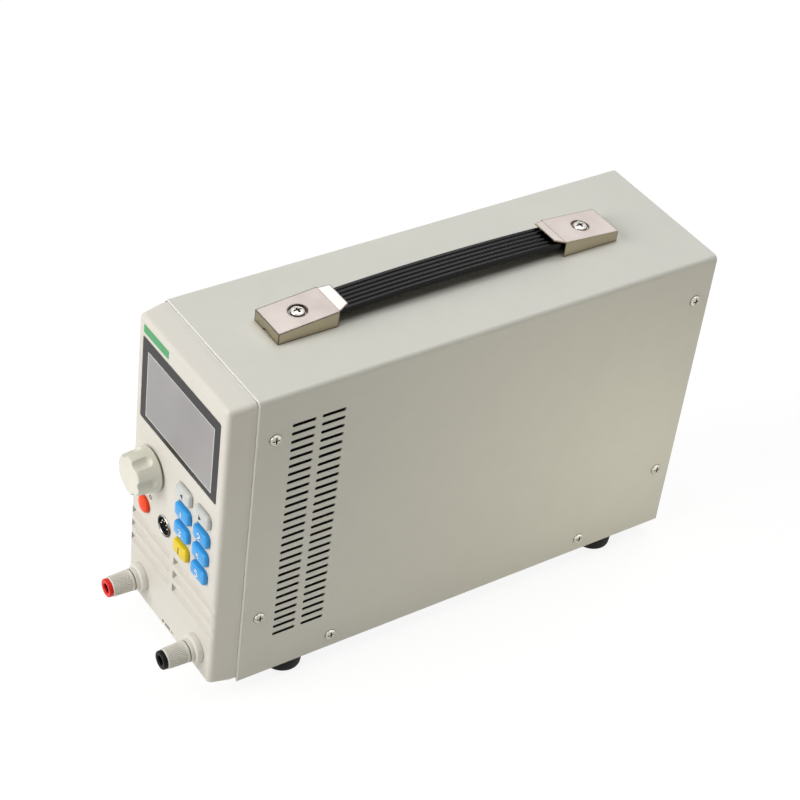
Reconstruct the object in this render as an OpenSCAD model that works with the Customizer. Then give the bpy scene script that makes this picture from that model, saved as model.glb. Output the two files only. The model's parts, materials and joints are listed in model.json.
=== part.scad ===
// DC electronic load for the bench: sheet-steel case with a moulded front, binding posts,
// rotary knob, push keys, carrying strap, and the power stage with its fan inside.
// Front faces -Y, +Z is up, and the origin is on the table below the middle of the part.

/* [Case] */
// Width of the case
case_w = 82; // [78:1:100]
// Height of the case without its feet
case_h = 166; // [162:1:190]
// Depth of the cover
case_d = 250; // [235:1:300]
// Thickness of the sheet steel
sheet_t = 1; // [0.8:0.1:1.5]
// Outer bend radius of the cover
bend_r = 2.5; // [2:0.1:4]
// Height of the tray's turned-up sides
tray_flange_h = 14; // [12:0.5:20]
// Depth of the end plates' side flanges
end_flange_l = 15; // [12:0.5:16]
// How far the rear panel sits inside the cover
rear_recess = 1.5; // [0.5:0.1:3]

/* [Vents] */
// Length of one vent slot
vent_l = 12.1; // [8:0.1:14]
// Height of one vent slot
vent_h = 1.7; // [1:0.1:2.5]
// Distance between slots up the side
vent_pitch = 4.62; // [3.6:0.02:6]
// Distance between the two columns of slots
vent_col_pitch = 15.2; // [14.5:0.1:20]
// Middle of the first column, from the cover's front edge
vent_y = 23.4; // [23:0.1:30]
// Top slot, below the top of the case
vent_top = 18.5; // [12:0.5:30]
// Lowest place for a slot, above the bottom of the case
vent_bottom = 22.5; // [18:0.5:40]

/* [Front panel] */
// Depth of the moulded front
bezel_d = 14; // [13.5:0.5:18]
// Thickness of its front wall
bezel_wall = 3.2; // [2.8:0.1:3.6]
// Thickness of its side walls
bezel_side = 2; // [1.6:0.1:2.4]
// How much it narrows towards the front, on each side
bezel_taper = 1.2; // [0.6:0.1:1.6]
// Radius of its front edges
bezel_edge_r = 2.6; // [1.5:0.1:3]
// Step between the cover and the front panel
bezel_step = 0.5; // [0.3:0.1:0.8]
// Depth of the louvre grooves
louvre_depth = 2.2; // [1:0.1:2.4]
// Height of the louvre grooves
louvre_h = 4.9; // [3:0.1:6]
// Distance between louvre grooves
louvre_pitch = 8.25; // [6.5:0.25:10]
// Lowest louvre groove, above the bottom of the case
louvre_z = 33; // [30:0.5:36]

/* [Display] */
// Side edge of the display window, in from the side of the case
window_side = 6.9; // [6.5:0.1:10]
// Height of the display window
window_h = 45.1; // [40:0.1:46]
// Thickness of the display window
window_t = 1.6; // [1:0.1:1.8]
// Top edge of the window, below the top of the case
window_top = 11.5; // [10:0.1:12]
// Side edge of the display's view, in from the window's edge
view_side = 5.1; // [4.6:0.1:9]
// Height of the display's view
view_h = 35.3; // [30:0.1:36]
// How far the view sits below the middle of the window
view_drop = 1.4; // [0:0.1:2]

/* [Knob] */
// Radius of the knob's skirt
knob_r = 11; // [9:0.1:12]
// Radius of the knob's face
knob_face_r = 10; // [8:0.1:10.2]
// Length of the knob
knob_l = 11.6; // [10:0.1:14]
// Gap between the knob and the panel
knob_gap = 0.9; // [0.8:0.1:1.5]
// Knob axis, in from the panel's left edge
knob_inset = 20.4; // [18:0.1:22]
// Knob axis, below the window
knob_drop = 21; // [20:0.5:24]
// Radius of the encoder's shaft
shaft_r = 3; // [2.5:0.1:3.2]
// How far the knob pushes in
knob_push = 0.5; // [0.3:0.1:0.6]

/* [Keys] */
// Width of a key
key_w = 12.4; // [11:0.1:14]
// Height of a key
key_h = 7.8; // [7:0.1:9]
// Corner radius of a key
key_r = 2.7; // [2:0.1:3.2]
// How far a key stands out of the panel
key_out = 2.5; // [1.8:0.1:3.5]
// Travel of a key
key_travel = 1; // [0.5:0.1:1.2]
// Distance between the key columns
key_col_pitch = 16.4; // [16:0.1:17]
// Distance between the key rows
key_row_pitch = 11; // [10.5:0.1:12]
// Right column's middle, in from the panel's right edge
key_inset = 15.2; // [13:0.1:16]
// Top row's middle, below the window
key_drop = 13.4; // [10:0.1:14]
// Radius of the round button
button_r = 4.3; // [3.5:0.1:4.6]
// How far the round button stands out
button_out = 2.4; // [1.8:0.1:4]
// Round button's axis, in from the panel's left edge
button_inset = 15; // [14:0.1:16]
// Round button's axis, below the window
button_drop = 47; // [45:0.5:48]
// Sense socket's axis, below the window
sense_drop = 45.9; // [44:0.1:48]
// Sense socket's place between the round button and the left keys, as a share
sense_share = 0.522; // [0.45:0.001:0.55]
// Radius of the sense socket's rim
sense_r = 5.5; // [4.8:0.1:5.8]

/* [Binding posts] */
// Post axis, in from the side of the case
post_inset = 14.5; // [13:0.1:17]
// Post axis, above the bottom of the case
post_z = 16; // [15:0.1:18]
// Radius of the post's flange
post_flange_r = 7.1; // [6.8:0.1:9]
// Length of the post's base
post_base_l = 5.4; // [4.5:0.1:7]
// Radius of the screw cap
post_cap_r = 5.4; // [5.2:0.05:5.8]
// Length of the screw cap
post_cap_l = 11.2; // [9:0.1:14]
// Length of the coloured tip
post_tip_l = 2; // [1.5:0.1:4]
// Radius of the coloured tip
post_tip_r = 4.6; // [4.4:0.1:4.8]
// Radius of the plug socket
socket_r = 2.05; // [2:0.01:2.1]
// Radius of the threaded stud
stud_r = 3; // [2.9:0.1:3.2]

/* [Strap] */
// Distance between the strap's two screws
strap_span = 155; // [140:1:180]
// Middle of the strap, from the cover's front edge
strap_mid = 120; // [110:1:130]
// Width of the strap
strap_w = 16; // [14:0.5:17]
// Thickness of the strap
strap_t = 3.6; // [3:0.1:3.8]
// Top of the strap above the case, at its middle
strap_top = 8.5; // [8.3:0.1:10]
// Width of an end cap
cap_w = 20; // [19:0.5:24]
// Length of an end cap
cap_l = 31; // [28:0.5:36]
// Height of an end cap at its outer end
cap_low = 5.8; // [5.4:0.1:6.4]
// Height of an end cap where the strap comes out
cap_high = 8.3; // [8:0.1:9.4]

/* [Feet and screws] */
// Height of a foot
foot_h = 8.5; // [6:0.5:12]
// Radius of a foot
foot_r = 10; // [7.5:0.1:10.2]
// Middle of a foot, in from the side of the case
foot_inset = 10.4; // [10.2:0.1:12]
// Front feet, from the cover's front edge
foot_front = 31; // [27:0.5:40]
// Rear feet, from the cover's rear edge
foot_rear = 33; // [27:0.5:40]
// Radius of a screw's shank
screw_r = 1.5; // [1.4:0.05:1.6]
// Radius of a screw's head
screw_head_r = 2.9; // [2.6:0.1:3.1]
// Height of a screw's head
screw_head_h = 1.3; // [1.2:0.1:1.7]

/* [Power stage] */
// Front of the heat sink, from the cover's front edge
sink_y = 92; // [86:1:100]
// Thickness of a heat sink fin
fin_t = 1.6; // [1:0.1:2]
// Number of heat sink fins
fins = 11; // [7:2:13]
// Height of the power board above the heat sink
standoff_l = 12; // [9:0.5:15]
// Width of the transformer's core
core_w = 48; // [42:1:50]
// Height of the transformer's core
core_h = 40; // [34:1:44]
// Thickness of the core's stack
core_t = 22; // [16:1:26]
// Middle of the transformer, from the cover's front edge
core_y = 55; // [48:1:60]

/* [Rear panel] */
// Width of the fan
fan_w = 60; // [50:1:64]
// Depth of the fan
fan_t = 25; // [20:1:28]
// Distance between the fan's screws
fan_pitch = 50; // [40:0.5:51]
// Gap between the fan and the tray
fan_lift = 13; // [10:0.5:16]
// Number of fan blades
blades = 7; // [5:1:9]
// Middle of the mains inlet, below the top of the case
inlet_drop = 26; // [24:0.5:30]
// Width of the inlet's socket
inlet_w = 24.8; // [24.4:0.1:25.2]
// Height of the inlet's socket
inlet_h = 16.6; // [16.2:0.1:17]
// Depth of the inlet's socket
inlet_deep = 17; // [15:0.5:18]
// Middle of the power switch and serial port, below the inlet
port_drop = 40; // [36:0.5:43]
// Middle of the power switch, in from the side of the case
rocker_inset = 17; // [15:0.5:19]
// Middle of the serial port, in from the other side of the case
port_inset = 29; // [25:0.5:33]
// How far the serial port's shell stands out
port_out = 6; // [5.5:0.1:7]
// Angle through which the power switch tips
rocker_turn = 22; // [16:1:24]

/* [Hidden] */
$fn = 48;

// Clearances
fit_gap = 0.2;      // between pieces that are pushed or folded together
run_gap = 0.06;     // between a shaft and its bore
hole_gap = 0.2;     // between a screw and the hole it passes
soft_gap = 0.3;     // between pieces that lie beside each other
cut = 1;            // overshoot of a cutter

// Colours
shell_grey = [0.80, 0.79, 0.75];
panel_grey = [0.87, 0.86, 0.81];
knob_grey = [0.80, 0.79, 0.74];
post_grey = [0.76, 0.75, 0.71];
nickel = [0.82, 0.79, 0.75];
zinc = [0.70, 0.71, 0.72];
brass_tone = [0.78, 0.62, 0.30];
black_tone = [0.06, 0.06, 0.06];
board_green = [0.08, 0.32, 0.20];
key_blue_tone = [0.16, 0.52, 0.86];
key_grey_tone = [0.74, 0.75, 0.73];
key_yellow_tone = [0.92, 0.80, 0.15];
red_tone = [0.85, 0.17, 0.10];
alloy = [0.66, 0.67, 0.68];
copper = [0.66, 0.36, 0.16];
window_tone = [0.30, 0.30, 0.29];
display_tone = [0.65, 0.65, 0.65];
mat_tone = [0.25, 0.25, 0.26];
white_tone = [0.90, 0.90, 0.88];
sleeve_tone = [0.12, 0.13, 0.20];
core_tone = [0.35, 0.34, 0.33];

// Overall depth and where the cover starts
post_gap = 0.4;
post_l = post_base_l + post_gap + post_cap_l + post_tip_l;
rocker_rise = 5;
guard_rise = 4.4;
guard_wire_r = 0.8;
guard_leg_r = 0.7;
guard_eye_r = 3.4;
guard_rings = [0.28, 0.51, 0.74, 0.97];   // of the fan's bore
rear_out = max(port_out, rocker_rise, guard_rise) - rear_recess;
total_d = post_l + bezel_d + case_d + rear_out;
cover_y = post_l + bezel_d - total_d / 2;

// Chassis
tray_w = case_w - 2 * (sheet_t + fit_gap);
tray_bend_r = 2 * sheet_t;
plate_y = 0.5;
plate_h = case_h - 2 * sheet_t - fit_gap;
rear_y = case_d - rear_recess;
corner_clear = tray_bend_r + fit_gap;
top_clear = bend_r - sheet_t + fit_gap;

// Screw places on each side: [from the cover's front edge, above the bottom of the case]
side_drop = 23.2;               // upper side screws, below the top of the case
side_upper = case_h - side_drop;
side_lower = 37;
side_front = 9.2;
side_end = 8.6;                 // rear side screws to the cover's rear edge
side_rear = case_d - side_end;
tray_screw_z = 7.7;
end_screws = [for (y = [side_front, side_rear], z = [side_lower, side_upper]) [y, z]];
tray_screw_gap = 19.3;          // tray screw to the nearest foot
tray_screws = [for (y = [foot_front + tray_screw_gap, case_d - foot_rear - tray_screw_gap])
  [y, tray_screw_z]];
side_screws = concat(end_screws, tray_screws);
screw_l = 6;
foot_x = case_w / 2 - foot_inset;
foot_places = [for (x = [-foot_x, foot_x], y = [foot_front, case_d - foot_rear]) [x, y]];
foot_recess_gap = 1;
foot_recess_r = screw_head_r + foot_recess_gap;
foot_recess = foot_h / 2;
foot_edge = 1;
foot_draft = 0.8;
foot_screw_over = 3;

// Vents
vent_rows = floor((case_h - vent_top - vent_bottom) / vent_pitch) + 1;

// Front panel
bezel_w = case_w - 2 * bezel_step;
bezel_corner_over = 0.6;
bezel_corner_r = bezel_edge_r + bezel_corner_over;
bezel_land = 3;
wall_in = bezel_wall - bezel_d;
cavity_inset = bezel_step + bezel_taper + bezel_side;
cavity_w = case_w - 2 * cavity_inset;
cavity_h = case_h - 2 * cavity_inset;
window_w = case_w - 2 * window_side;
window_z = case_h - window_top - window_h / 2;
window_low = window_z - window_h / 2;
window_r = 1.2;
view_w = window_w - 2 * view_side;
view_z = window_z - view_drop;
knob_x = knob_inset - case_w / 2;
knob_z = window_low - knob_drop;
button_x = button_inset - case_w / 2;
button_z = window_low - button_drop;
sense_z = window_low - sense_drop;
key_right_x = case_w / 2 - key_inset;
key_left_x = key_right_x - key_col_pitch;
sense_x = button_x + sense_share * (key_left_x - button_x);
key_top_z = window_low - key_drop;
key_rows = 4;
key_low_z = key_top_z - (key_rows - 1) * key_row_pitch;
louvre_clear = 5;
louvre_ceiling = button_z - button_r - louvre_clear;
louvre_most = 3;
louvre_fit = floor((louvre_ceiling - louvre_z - louvre_h / 2) / louvre_pitch) + 1;
louvre_rows = min(louvre_most, louvre_fit);
louvre_gap = 4;
louvre_margin = 3;
louvre_l = case_w / 2 - louvre_margin - louvre_gap / 2;
louvre_xs = [louvre_margin - case_w / 2, louvre_gap / 2];

// Boards behind the panel
board_space = 6.7;
board_t = 1.6;
board_y = wall_in + board_space;
board_side = 1;
board_w = cavity_w - 2 * board_side;
flange_rim = 0.8;
board_margin = 6.4;             // from the lowest key's flange to the board's edge
board_low = min(button_z - button_r, key_low_z - key_h / 2) - flange_rim - board_margin;
board_high = window_low + window_h;
mat_t = 1.2;
boss_r = 2.4;
boss_x = cavity_w / 2 - screw_head_r - soft_gap;
pilot_r = screw_r - 0.2;
pilot_l = 7;
boss_edge = 3.4;                // boss to the board's lower edge
boss_rise = 18;                 // upper boss above the window's middle
boss_over_post = 13;
boss_roof = 0.4;
board_boss_zs = [board_low + boss_edge, window_z + boss_rise];
plate_boss_zs = [post_z + boss_over_post, case_h - cavity_inset - boss_r - boss_roof];
module_rim = [1.5, 3.5];        // display module beyond its view, at the sides and above
module_w = view_w + 2 * module_rim[0];
module_h = view_h + 2 * module_rim[1];
module_t = board_space - soft_gap;
flange_t = 1;
stem_inset = [2.5, 1.8];
stem_w = key_w - 2 * stem_inset[0];
stem_h = key_h - 2 * stem_inset[1];
button_stem_inset = 1.4;
button_stem_r = button_r - button_stem_inset;
stem_rear = board_y - key_travel - 0.1;
key_edge = 1.3;
key_crown = 0.3;
button_dome = 1.2;
display_step = 0.6;

// Encoder and knob
encoder_w = 12.4;
encoder_l = board_space - fit_gap;
bush_r = shaft_r + 0.6;
bush_l = bezel_wall + 3;
plunger_r = 3.9;
plunger_t = 1.1;
chamber_l = plunger_t + knob_push + 0.7;
shaft_end = board_y - fit_gap - chamber_l + 0.5;
knob_back = -bezel_d - knob_gap;
shaft_tip = knob_back - knob_l + 3;
knob_hollow_r = bush_r + 1.6;
knob_hollow_l = bush_l - bezel_wall - knob_gap + knob_push + 0.8;
knob_fillet = 0.8;
flutes = 6;
flute_r = 2.8;
flute_depth = 1.3;
flute_end = 5.6;
flute_turn = 3;

// Sense socket
sense_rim = 0.7;
sense_wall = 0.4;
sense_barrel_r = sense_r - sense_rim;
sense_bore_r = sense_barrel_r - sense_wall;
sense_lip = 0.8;
sense_l = 13;
sense_pins = 5;
sense_pin_r = 0.5;
sense_pin_l = 3;
sense_key = [1.6, 1, 6];

// Binding posts, measured outwards from the panel's front face
post_x = case_w / 2 - post_inset;
spigot_r = 5;
neck_over = 0.2;
neck_r = post_cap_r + neck_over;
stud_in = 23;
socket_l = 14;
stud_set_back = 1.2;
stud_front = post_l - stud_set_back;
cap_front = post_l - post_tip_l;
tip_wall = 0.9;
tip_spigot_r = post_tip_r - tip_wall;
tip_spigot_l = 3;
tip_hole_gap = 0.35;
tip_hole_r = socket_r + tip_hole_gap;
grip_grooves = 18;
groove_r = 0.6;
groove_depth = 0.35;
cap_nose = 0.8;
cap_collar = 1.4;
grip_l = post_cap_l - cap_collar - cap_nose;
nose_inset = 0.3;
nose_r = post_cap_r - nose_inset;
base_rim = 1;
base_neck_l = 1.4;
tip_edge = 0.5;
washer_t = 1.5;
nut_t = 4;
nut_r = 5.8;

// Strap
strap_ys = [strap_mid - strap_span / 2, strap_mid + strap_span / 2];
strap_screw_r = 2;
cap_t = 0.8;
cap_outer = 15.4;                               // outer end of a cap to its screw
mouth_y = strap_ys[0] - cap_outer + cap_l;       // where the strap leaves the front cap
strap_rise = strap_top - cap_high + cap_t + 0.5;
half_run = strap_mid - mouth_y;
strap_bow_r = (half_run * half_run + strap_rise * strap_rise) / (2 * strap_rise);
strap_tuck = 4;
strap_arc = 2 * asin((half_run + strap_tuck) / strap_bow_r);
strap_ribs = 6;
rib_pitch = strap_w / strap_ribs;
tongue_t = 2.4;
tongue_z = 1.9;
tongue_w = cap_w - 2 * cap_t - 3;
tongue_slot_r = strap_screw_r + 1.2;
tongue_slot_l = 14;
tongue_l = cap_l - 4;
tongue_shift = 3;
rib_sink = 0.4;
notch = [4.2, 4 * cap_t, 1.2];
strap_nut_t = 3.2;
strap_nut_r = 4.04;
strap_screw_over = 5;
lip_l = 5.6;
lip_w = 15;
lip_lift = 14;
lip_inset = 0.1;
lip_tuck = 0.6;
lip_root = cap_w / 2 - cap_t / 2;
dimple_r = 4.4;
dimple_deep = 1.1;
cap_slope = (cap_high - cap_low) / cap_l;
dimple_z = cap_low + cap_slope * cap_outer - dimple_deep;
strap_head_r = 3.4;
strap_head_h = 1.9;

// Power stage
fan_z = sheet_t + fan_lift + fan_w / 2;
fan_rear = rear_y - sheet_t;
fan_front = fan_rear - fan_t;
fan_wall = 1.6;
fan_bore_r = fan_w / 2 - fan_wall;
fan_hole_r = 2.15;
hub_r = 12.5;
blade_gap = 0.8;
blade_tip_r = fan_bore_r - blade_gap;
axle_r = 1.5;
rotor_front = 1.5;
spider_t = 3;
spider_w = 4;
spider_arms = 4;
fan_corner_r = 4;
rotor_cap_t = 3;
rotor_l = fan_t - 2 * rotor_front - spider_t;
blade_t = 1.4;
blade_twist = 38;
blade_inset = 1;
sink_side = 2;                  // heat sink beyond the fan on each side
sink_gap = 1;                   // between the heat sink and the fan
sink_trim = 2;                  // heat sink's top and bottom inside the fan's
sink_w = fan_w + 2 * sink_side;
sink_l = fan_front - sink_gap - sink_y;
sink_top = fan_z + fan_w / 2 - sink_trim;
sink_base_t = 6;
sink_foot_w = 6;
sink_foot_t = 2;
sink_leg_gap = 2;
sink_leg_x = foot_x - screw_r - sink_leg_gap - sink_foot_w / 2;
sink_low = fan_z - fan_w / 2 + sink_trim;
power_z = sink_top + standoff_l;
power_side = 4;
power_w = tray_w - 2 * (sheet_t + power_side);
power_short = 24;               // rear end of the power board to that of the heat sink
power_l = sink_l - power_short;
standoff_r = 2.9;
standoff_inset = [5, 6];        // from the heat sink's side and the board's ends
standoff_x = sink_w / 2 - standoff_inset[0];
standoff_ys = [sink_y + standoff_inset[1], sink_y + power_l - standoff_inset[1]];
mosfet_pitch = 30;
mosfet_x = 12;
mosfet_start = 18;
mosfet_leg_pitch = 5;
mosfet_body = [16, 21, 5];
mosfet_leg = [1.2, 4, 0.7];
mosfets_per_row = floor((power_l - 2 * mosfet_start) / mosfet_pitch) + 1;
capacitor_r = 8;
capacitor_l = 25;
capacitor_pitch = 22;
capacitor_start = 24;
capacitor_edge = 1;
capacitor_count = 3;
window_core_w = core_w / 6;
window_core_h = core_h * 0.6;
leg_w = core_w / 3;
winding_over = 8;
winding_corner_r = 4;

// Rear panel
inlet_z = case_h - inlet_drop;
port_z = inlet_z - port_drop;
rocker_x = case_w / 2 - rocker_inset;
port_x = case_w / 2 - port_inset;
inlet_flange = [50, 31];
inlet_flange_t = 2.5;
inlet_flange_r = 4;
inlet_screw_x = inlet_flange[0] / 2 - 5;
inlet_bevel = 4.6;
inlet_body = [28.4, 27];
inlet_body_l = inlet_deep + 3.5;
inlet_v = -4.6;                 // middle of the socket, from the middle of the flange
pin_size = [2, 4];
pin_spread = 7;
pin_step = 4;
pin_tail = 8;
fuse_v = 8.9;
fuse_size = [22, 7];
fuse_l = 19;
fuse_bay = [10, 4];             // length and height of the fuse's bay in the drawer
fuse_bay_front = 4;
fuse_notch = [8, 2.4, 4];
rocker_size = [10.4, 14];
rocker_pivot = 1;               // pivot below the panel's outer face
rocker_pin_r = 1.2;
rocker_wall = 1.6;
rocker_flange_t = 1.6;
rocker_body_l = 13;
rocker_hole = rocker_size + [1, 0.8];
rocker_body = rocker_hole + 2 * [rocker_wall, rocker_wall];
rocker_lip = 1.2;
rocker_low = 1.8;
rocker_ear = 4.8;
rocker_waist = 3;
port_flange = [30.8, 12.6];
port_flange_t = 1;
port_shell = [16.9, 8.3];
port_pitch = 25;
jack_r = 2.9;
jack_hole_r = 1.42;
jack_l = 5;
jack_hole_l = 3.5;
jack_shank_l = 4;
port_tail = 8;
port_lean = 10;
port_corner_r = 2;
port_pin_r = 0.55;
port_pin_l = 4;
port_pin_pitch = 2.77;
port_row_pitch = 2.84;

// Heavy leads, from a post's stud to the power board: shares of the way across, back and up
lead_r = 2.4;
lead_sides = 8;
lead_from = [post_x, stud_in - bezel_d, post_z];
lead_gap = 1.5;
lead_to = [standoff_x - standoff_r - lead_r - lead_gap, standoff_ys[0],
           power_z + board_t + lead_r + soft_gap];
lead_shares = [
  [0, 0, 0], [0, 0.08, 0], [-0.16, 0.15, 0.04], [-0.4, 0.19, 0.14], [-0.55, 0.21, 0.28],
  [-0.55, 0.24, 0.44], [-0.55, 0.27, 0.61], [-0.4, 0.34, 0.78], [-0.1, 0.44, 0.91],
  [0.4, 0.57, 0.98], [0.8, 0.73, 1], [1, 1, 1]
];

// Helpers
module in_case() { translate([0, cover_y, foot_h]) children(); }

module along_y(len) { translate([0, len, 0]) rotate([90, 0, 0]) linear_extrude(len) children(); }

module along_x(len) { rotate([90, 0, 90]) translate([0, 0, -len / 2]) linear_extrude(len) children(); }

// Local +Z points out of the front
module to_front(x, y, z) { translate([x, y, z]) rotate([90, 0, 0]) children(); }

// Local +Z points out of the rear, local +Y up
module to_rear(x, z) { translate([x, rear_y, z]) rotate([90, 0, 180]) children(); }

module rrect(w, h, r) {
  square([w - 2 * r, h], center = true);
  square([w, h - 2 * r], center = true);
  for (sx = [-1, 1], sy = [-1, 1])
    translate([sx * (w / 2 - r), sy * (h / 2 - r)]) circle(r);
}

module slot2d(l, h) {
  square([l - h, h], center = true);
  for (s = [-1, 1])
    translate([s * (l - h) / 2, 0]) circle(h / 2);
}

// Outline with its two upper corners rounded
module arch(w, h, r) {
  translate([-w / 2, 0]) square([w, h - r]);
  translate([r - w / 2, 0]) square([w - 2 * r, h]);
  for (s = [-1, 1])
    translate([s * (w / 2 - r), h - r]) circle(r);
}

// Folded sheet: closed at the top, open at the bottom
module fold(w, h, r) {
  difference() {
    arch(w, h, r);
    translate([0, -cut]) arch(w - 2 * sheet_t, h - sheet_t + cut, r - sheet_t);
  }
}

// Screw whose head sits on z = 0 and whose shank runs down
module screw(len, r = screw_r, head_r = screw_head_r, head_h = screw_head_h) {
  rotate_extrude() {
    square([head_r, head_h / 2]);
    translate([0, head_h / 2]) square([head_r - head_h / 2, head_h / 2]);
    intersection() {
      translate([head_r - head_h / 2, head_h / 2]) circle(head_h / 2);
      translate([0, head_h / 2]) square([head_r, head_h / 2]);
    }
  }
  translate([0, 0, -len]) cylinder(h = len, r = r);
}

module side_holes(places, r) {
  for (p = places)
    translate([0, p[0], p[1]]) along_x(case_w + 2 * cut) circle(r);
}

// Case
module case_cover() {
  color(shell_grey) in_case() difference() {
    along_y(case_d) fold(case_w, case_h, bend_r);
    for (c = [0:1], row = [0:vent_rows - 1])
      translate([0, vent_y + c * vent_col_pitch, case_h - vent_top - row * vent_pitch])
        along_x(case_w + 2 * cut) slot2d(vent_l, vent_h);
    side_holes(side_screws, screw_r + hole_gap);
    for (y = strap_ys)
      translate([0, y, case_h - sheet_t - cut])
        cylinder(h = sheet_t + 2 * cut, r = strap_screw_r + hole_gap);
  }
}

module bottom_tray() {
  color(zinc) in_case() difference() {
    translate([0, plate_y, 0]) along_y(rear_y - plate_y)
      translate([0, tray_flange_h]) mirror([0, 1]) fold(tray_w, tray_flange_h, tray_bend_r);
    side_holes(tray_screws, screw_r + run_gap);
    for (p = foot_places)
      translate([p[0], p[1], -cut]) cylinder(h = sheet_t + 2 * cut, r = screw_r + run_gap);
  }
}

// Upright plate with its outer face on y = 0 and side flanges running to +Y
module end_plate() {
  difference() {
    translate([0, 0, sheet_t]) linear_extrude(plate_h)
      translate([0, end_flange_l]) mirror([0, 1]) fold(tray_w, end_flange_l, tray_bend_r);
    for (s = [-1, 1])
      translate([s * tray_w / 2, end_flange_l / 2, tray_flange_h / 2 + fit_gap])
        cube([2 * corner_clear, end_flange_l + 2 * cut, tray_flange_h], center = true);
    for (s = [-1, 1])
      translate([s * tray_w / 2, end_flange_l / 2, sheet_t + plate_h])
        cube([2 * top_clear, end_flange_l + 2 * cut, 2 * top_clear], center = true);
  }
}

module front_plate() {
  color(zinc) in_case() difference() {
    translate([0, plate_y, 0]) end_plate();
    side_holes(end_screws, screw_r + run_gap);
    for (s = [-1, 1]) {
      to_front(s * post_x, plate_y + sheet_t + cut, post_z)
        cylinder(h = sheet_t + 2 * cut, r = nut_r + 2);
      for (z = plate_boss_zs)
        to_front(s * boss_x, plate_y + sheet_t + cut, z)
          cylinder(h = sheet_t + 2 * cut, r = screw_r + hole_gap);
    }
    to_front(0, plate_y + sheet_t + cut, window_z)
      linear_extrude(sheet_t + 2 * cut) rrect(module_w / 2, module_h / 2, 2);
  }
}

module rear_panel() {
  color(shell_grey) in_case() difference() {
    translate([0, rear_y, 0]) mirror([0, 1, 0]) end_plate();
    side_holes(end_screws, screw_r + run_gap);
    rear_cut(0, fan_z) circle(fan_bore_r);
    for (sx = [-1, 1], sz = [-1, 1])
      rear_cut(sx * fan_pitch / 2, fan_z + sz * fan_pitch / 2) circle(fan_hole_r);
    rear_cut(0, inlet_z)
      rrect(inlet_body[0] + 2 * fit_gap, inlet_body[1] + 2 * fit_gap, 1);
    for (s = [-1, 1])
      rear_cut(s * inlet_screw_x, inlet_z) circle(screw_r + run_gap);
    rear_cut(-rocker_x, port_z)
      square(rocker_body + 2 * [fit_gap, fit_gap], center = true);
    rear_cut(port_x, port_z) rrect(port_shell[0] + 2, port_shell[1] + 1, 2);
    for (s = [-1, 1])
      rear_cut(port_x + s * port_pitch / 2, port_z) circle(jack_hole_r + hole_gap);
  }
}

module rear_cut(x, z) {
  to_rear(x, z) translate([0, 0, -sheet_t - cut]) linear_extrude(sheet_t + 2 * cut) children();
}

module cover_screws() {
  color(nickel) in_case()
    for (p = side_screws, s = [-1, 1])
      translate([s * case_w / 2, p[0], p[1]]) rotate([0, s * 90, 0]) screw(screw_l);
}

// Moulded front
module bezel_corner(x, z) {
  translate([x, 0, z]) {
    rotate([90, 0, 0]) cylinder(h = bezel_land, r = bezel_corner_r, $fn = 32);
    translate([-sign(x) * bezel_taper, bezel_edge_r - bezel_d, sign(case_h / 2 - z) * bezel_taper])
      rotate([90, 0, 0]) rotate_extrude($fn = 32) intersection() {
        translate([bezel_corner_r - bezel_edge_r, 0]) circle(bezel_edge_r, $fn = 32);
        translate([0, -bezel_edge_r]) square([bezel_corner_r, 2 * bezel_edge_r]);
      }
  }
}

module bezel_skin() {
  hull()
    for (s = [-1, 1], top = [-1, 1])
      bezel_corner(s * (bezel_w / 2 - bezel_corner_r),
                   case_h / 2 + top * (case_h / 2 - bezel_step - bezel_corner_r));
}

module panel_cut(x, z) {
  to_front(x, wall_in + cut, z) linear_extrude(bezel_wall + 2 * cut) children();
}

module boss(x, z, rear) {
  to_front(x, rear, z) cylinder(h = rear - wall_in + bezel_wall / 4, r = boss_r);
}

module pilot(x, z, rear) {
  to_front(x, rear + cut, z) cylinder(h = pilot_l + cut, r = pilot_r);
}

module louvre(x, z) {
  translate([x + louvre_l / 2, -bezel_d, z]) along_x(louvre_l)
    polygon([[-cut, louvre_h / 2], [0, louvre_h / 2], [louvre_depth, -louvre_h / 4],
             [0, -louvre_h / 2], [-cut, -louvre_h / 2]]);
}

module front_bezel() {
  color(panel_grey) in_case() difference() {
    union() {
      difference() {
        bezel_skin();
        translate([-cavity_w / 2, wall_in, cavity_inset])
          cube([cavity_w, bezel_d, cavity_h]);
      }
      for (s = [-1, 1]) {
        for (z = board_boss_zs)
          boss(s * boss_x, z, board_y);
        for (z = plate_boss_zs)
          boss(s * boss_x, z, plate_y);
      }
    }
    for (s = [-1, 1]) {
      for (z = board_boss_zs)
        pilot(s * boss_x, z, board_y);
      for (z = plate_boss_zs)
        pilot(s * boss_x, z, plate_y);
      panel_cut(s * post_x, post_z) circle(spigot_r + fit_gap);
    }
    panel_cut(0, view_z) square([view_w, view_h], center = true);
    to_front(0, window_t - bezel_d, window_z)
      linear_extrude(window_t + cut) rrect(window_w + fit_gap, window_h + fit_gap, window_r);
    for (x = [key_left_x, key_right_x], row = [0:key_rows - 1])
      panel_cut(x, key_top_z - row * key_row_pitch)
        rrect(key_w + 2 * fit_gap, key_h + 2 * fit_gap, key_r + fit_gap);
    panel_cut(button_x, button_z) circle(button_r + fit_gap);
    panel_cut(sense_x, sense_z) circle(sense_barrel_r + fit_gap);
    panel_cut(knob_x, knob_z) circle(bush_r + fit_gap);
    for (x = louvre_xs, row = [0:louvre_rows - 1])
      louvre(x, louvre_z + row * louvre_pitch);
  }
}

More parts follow.
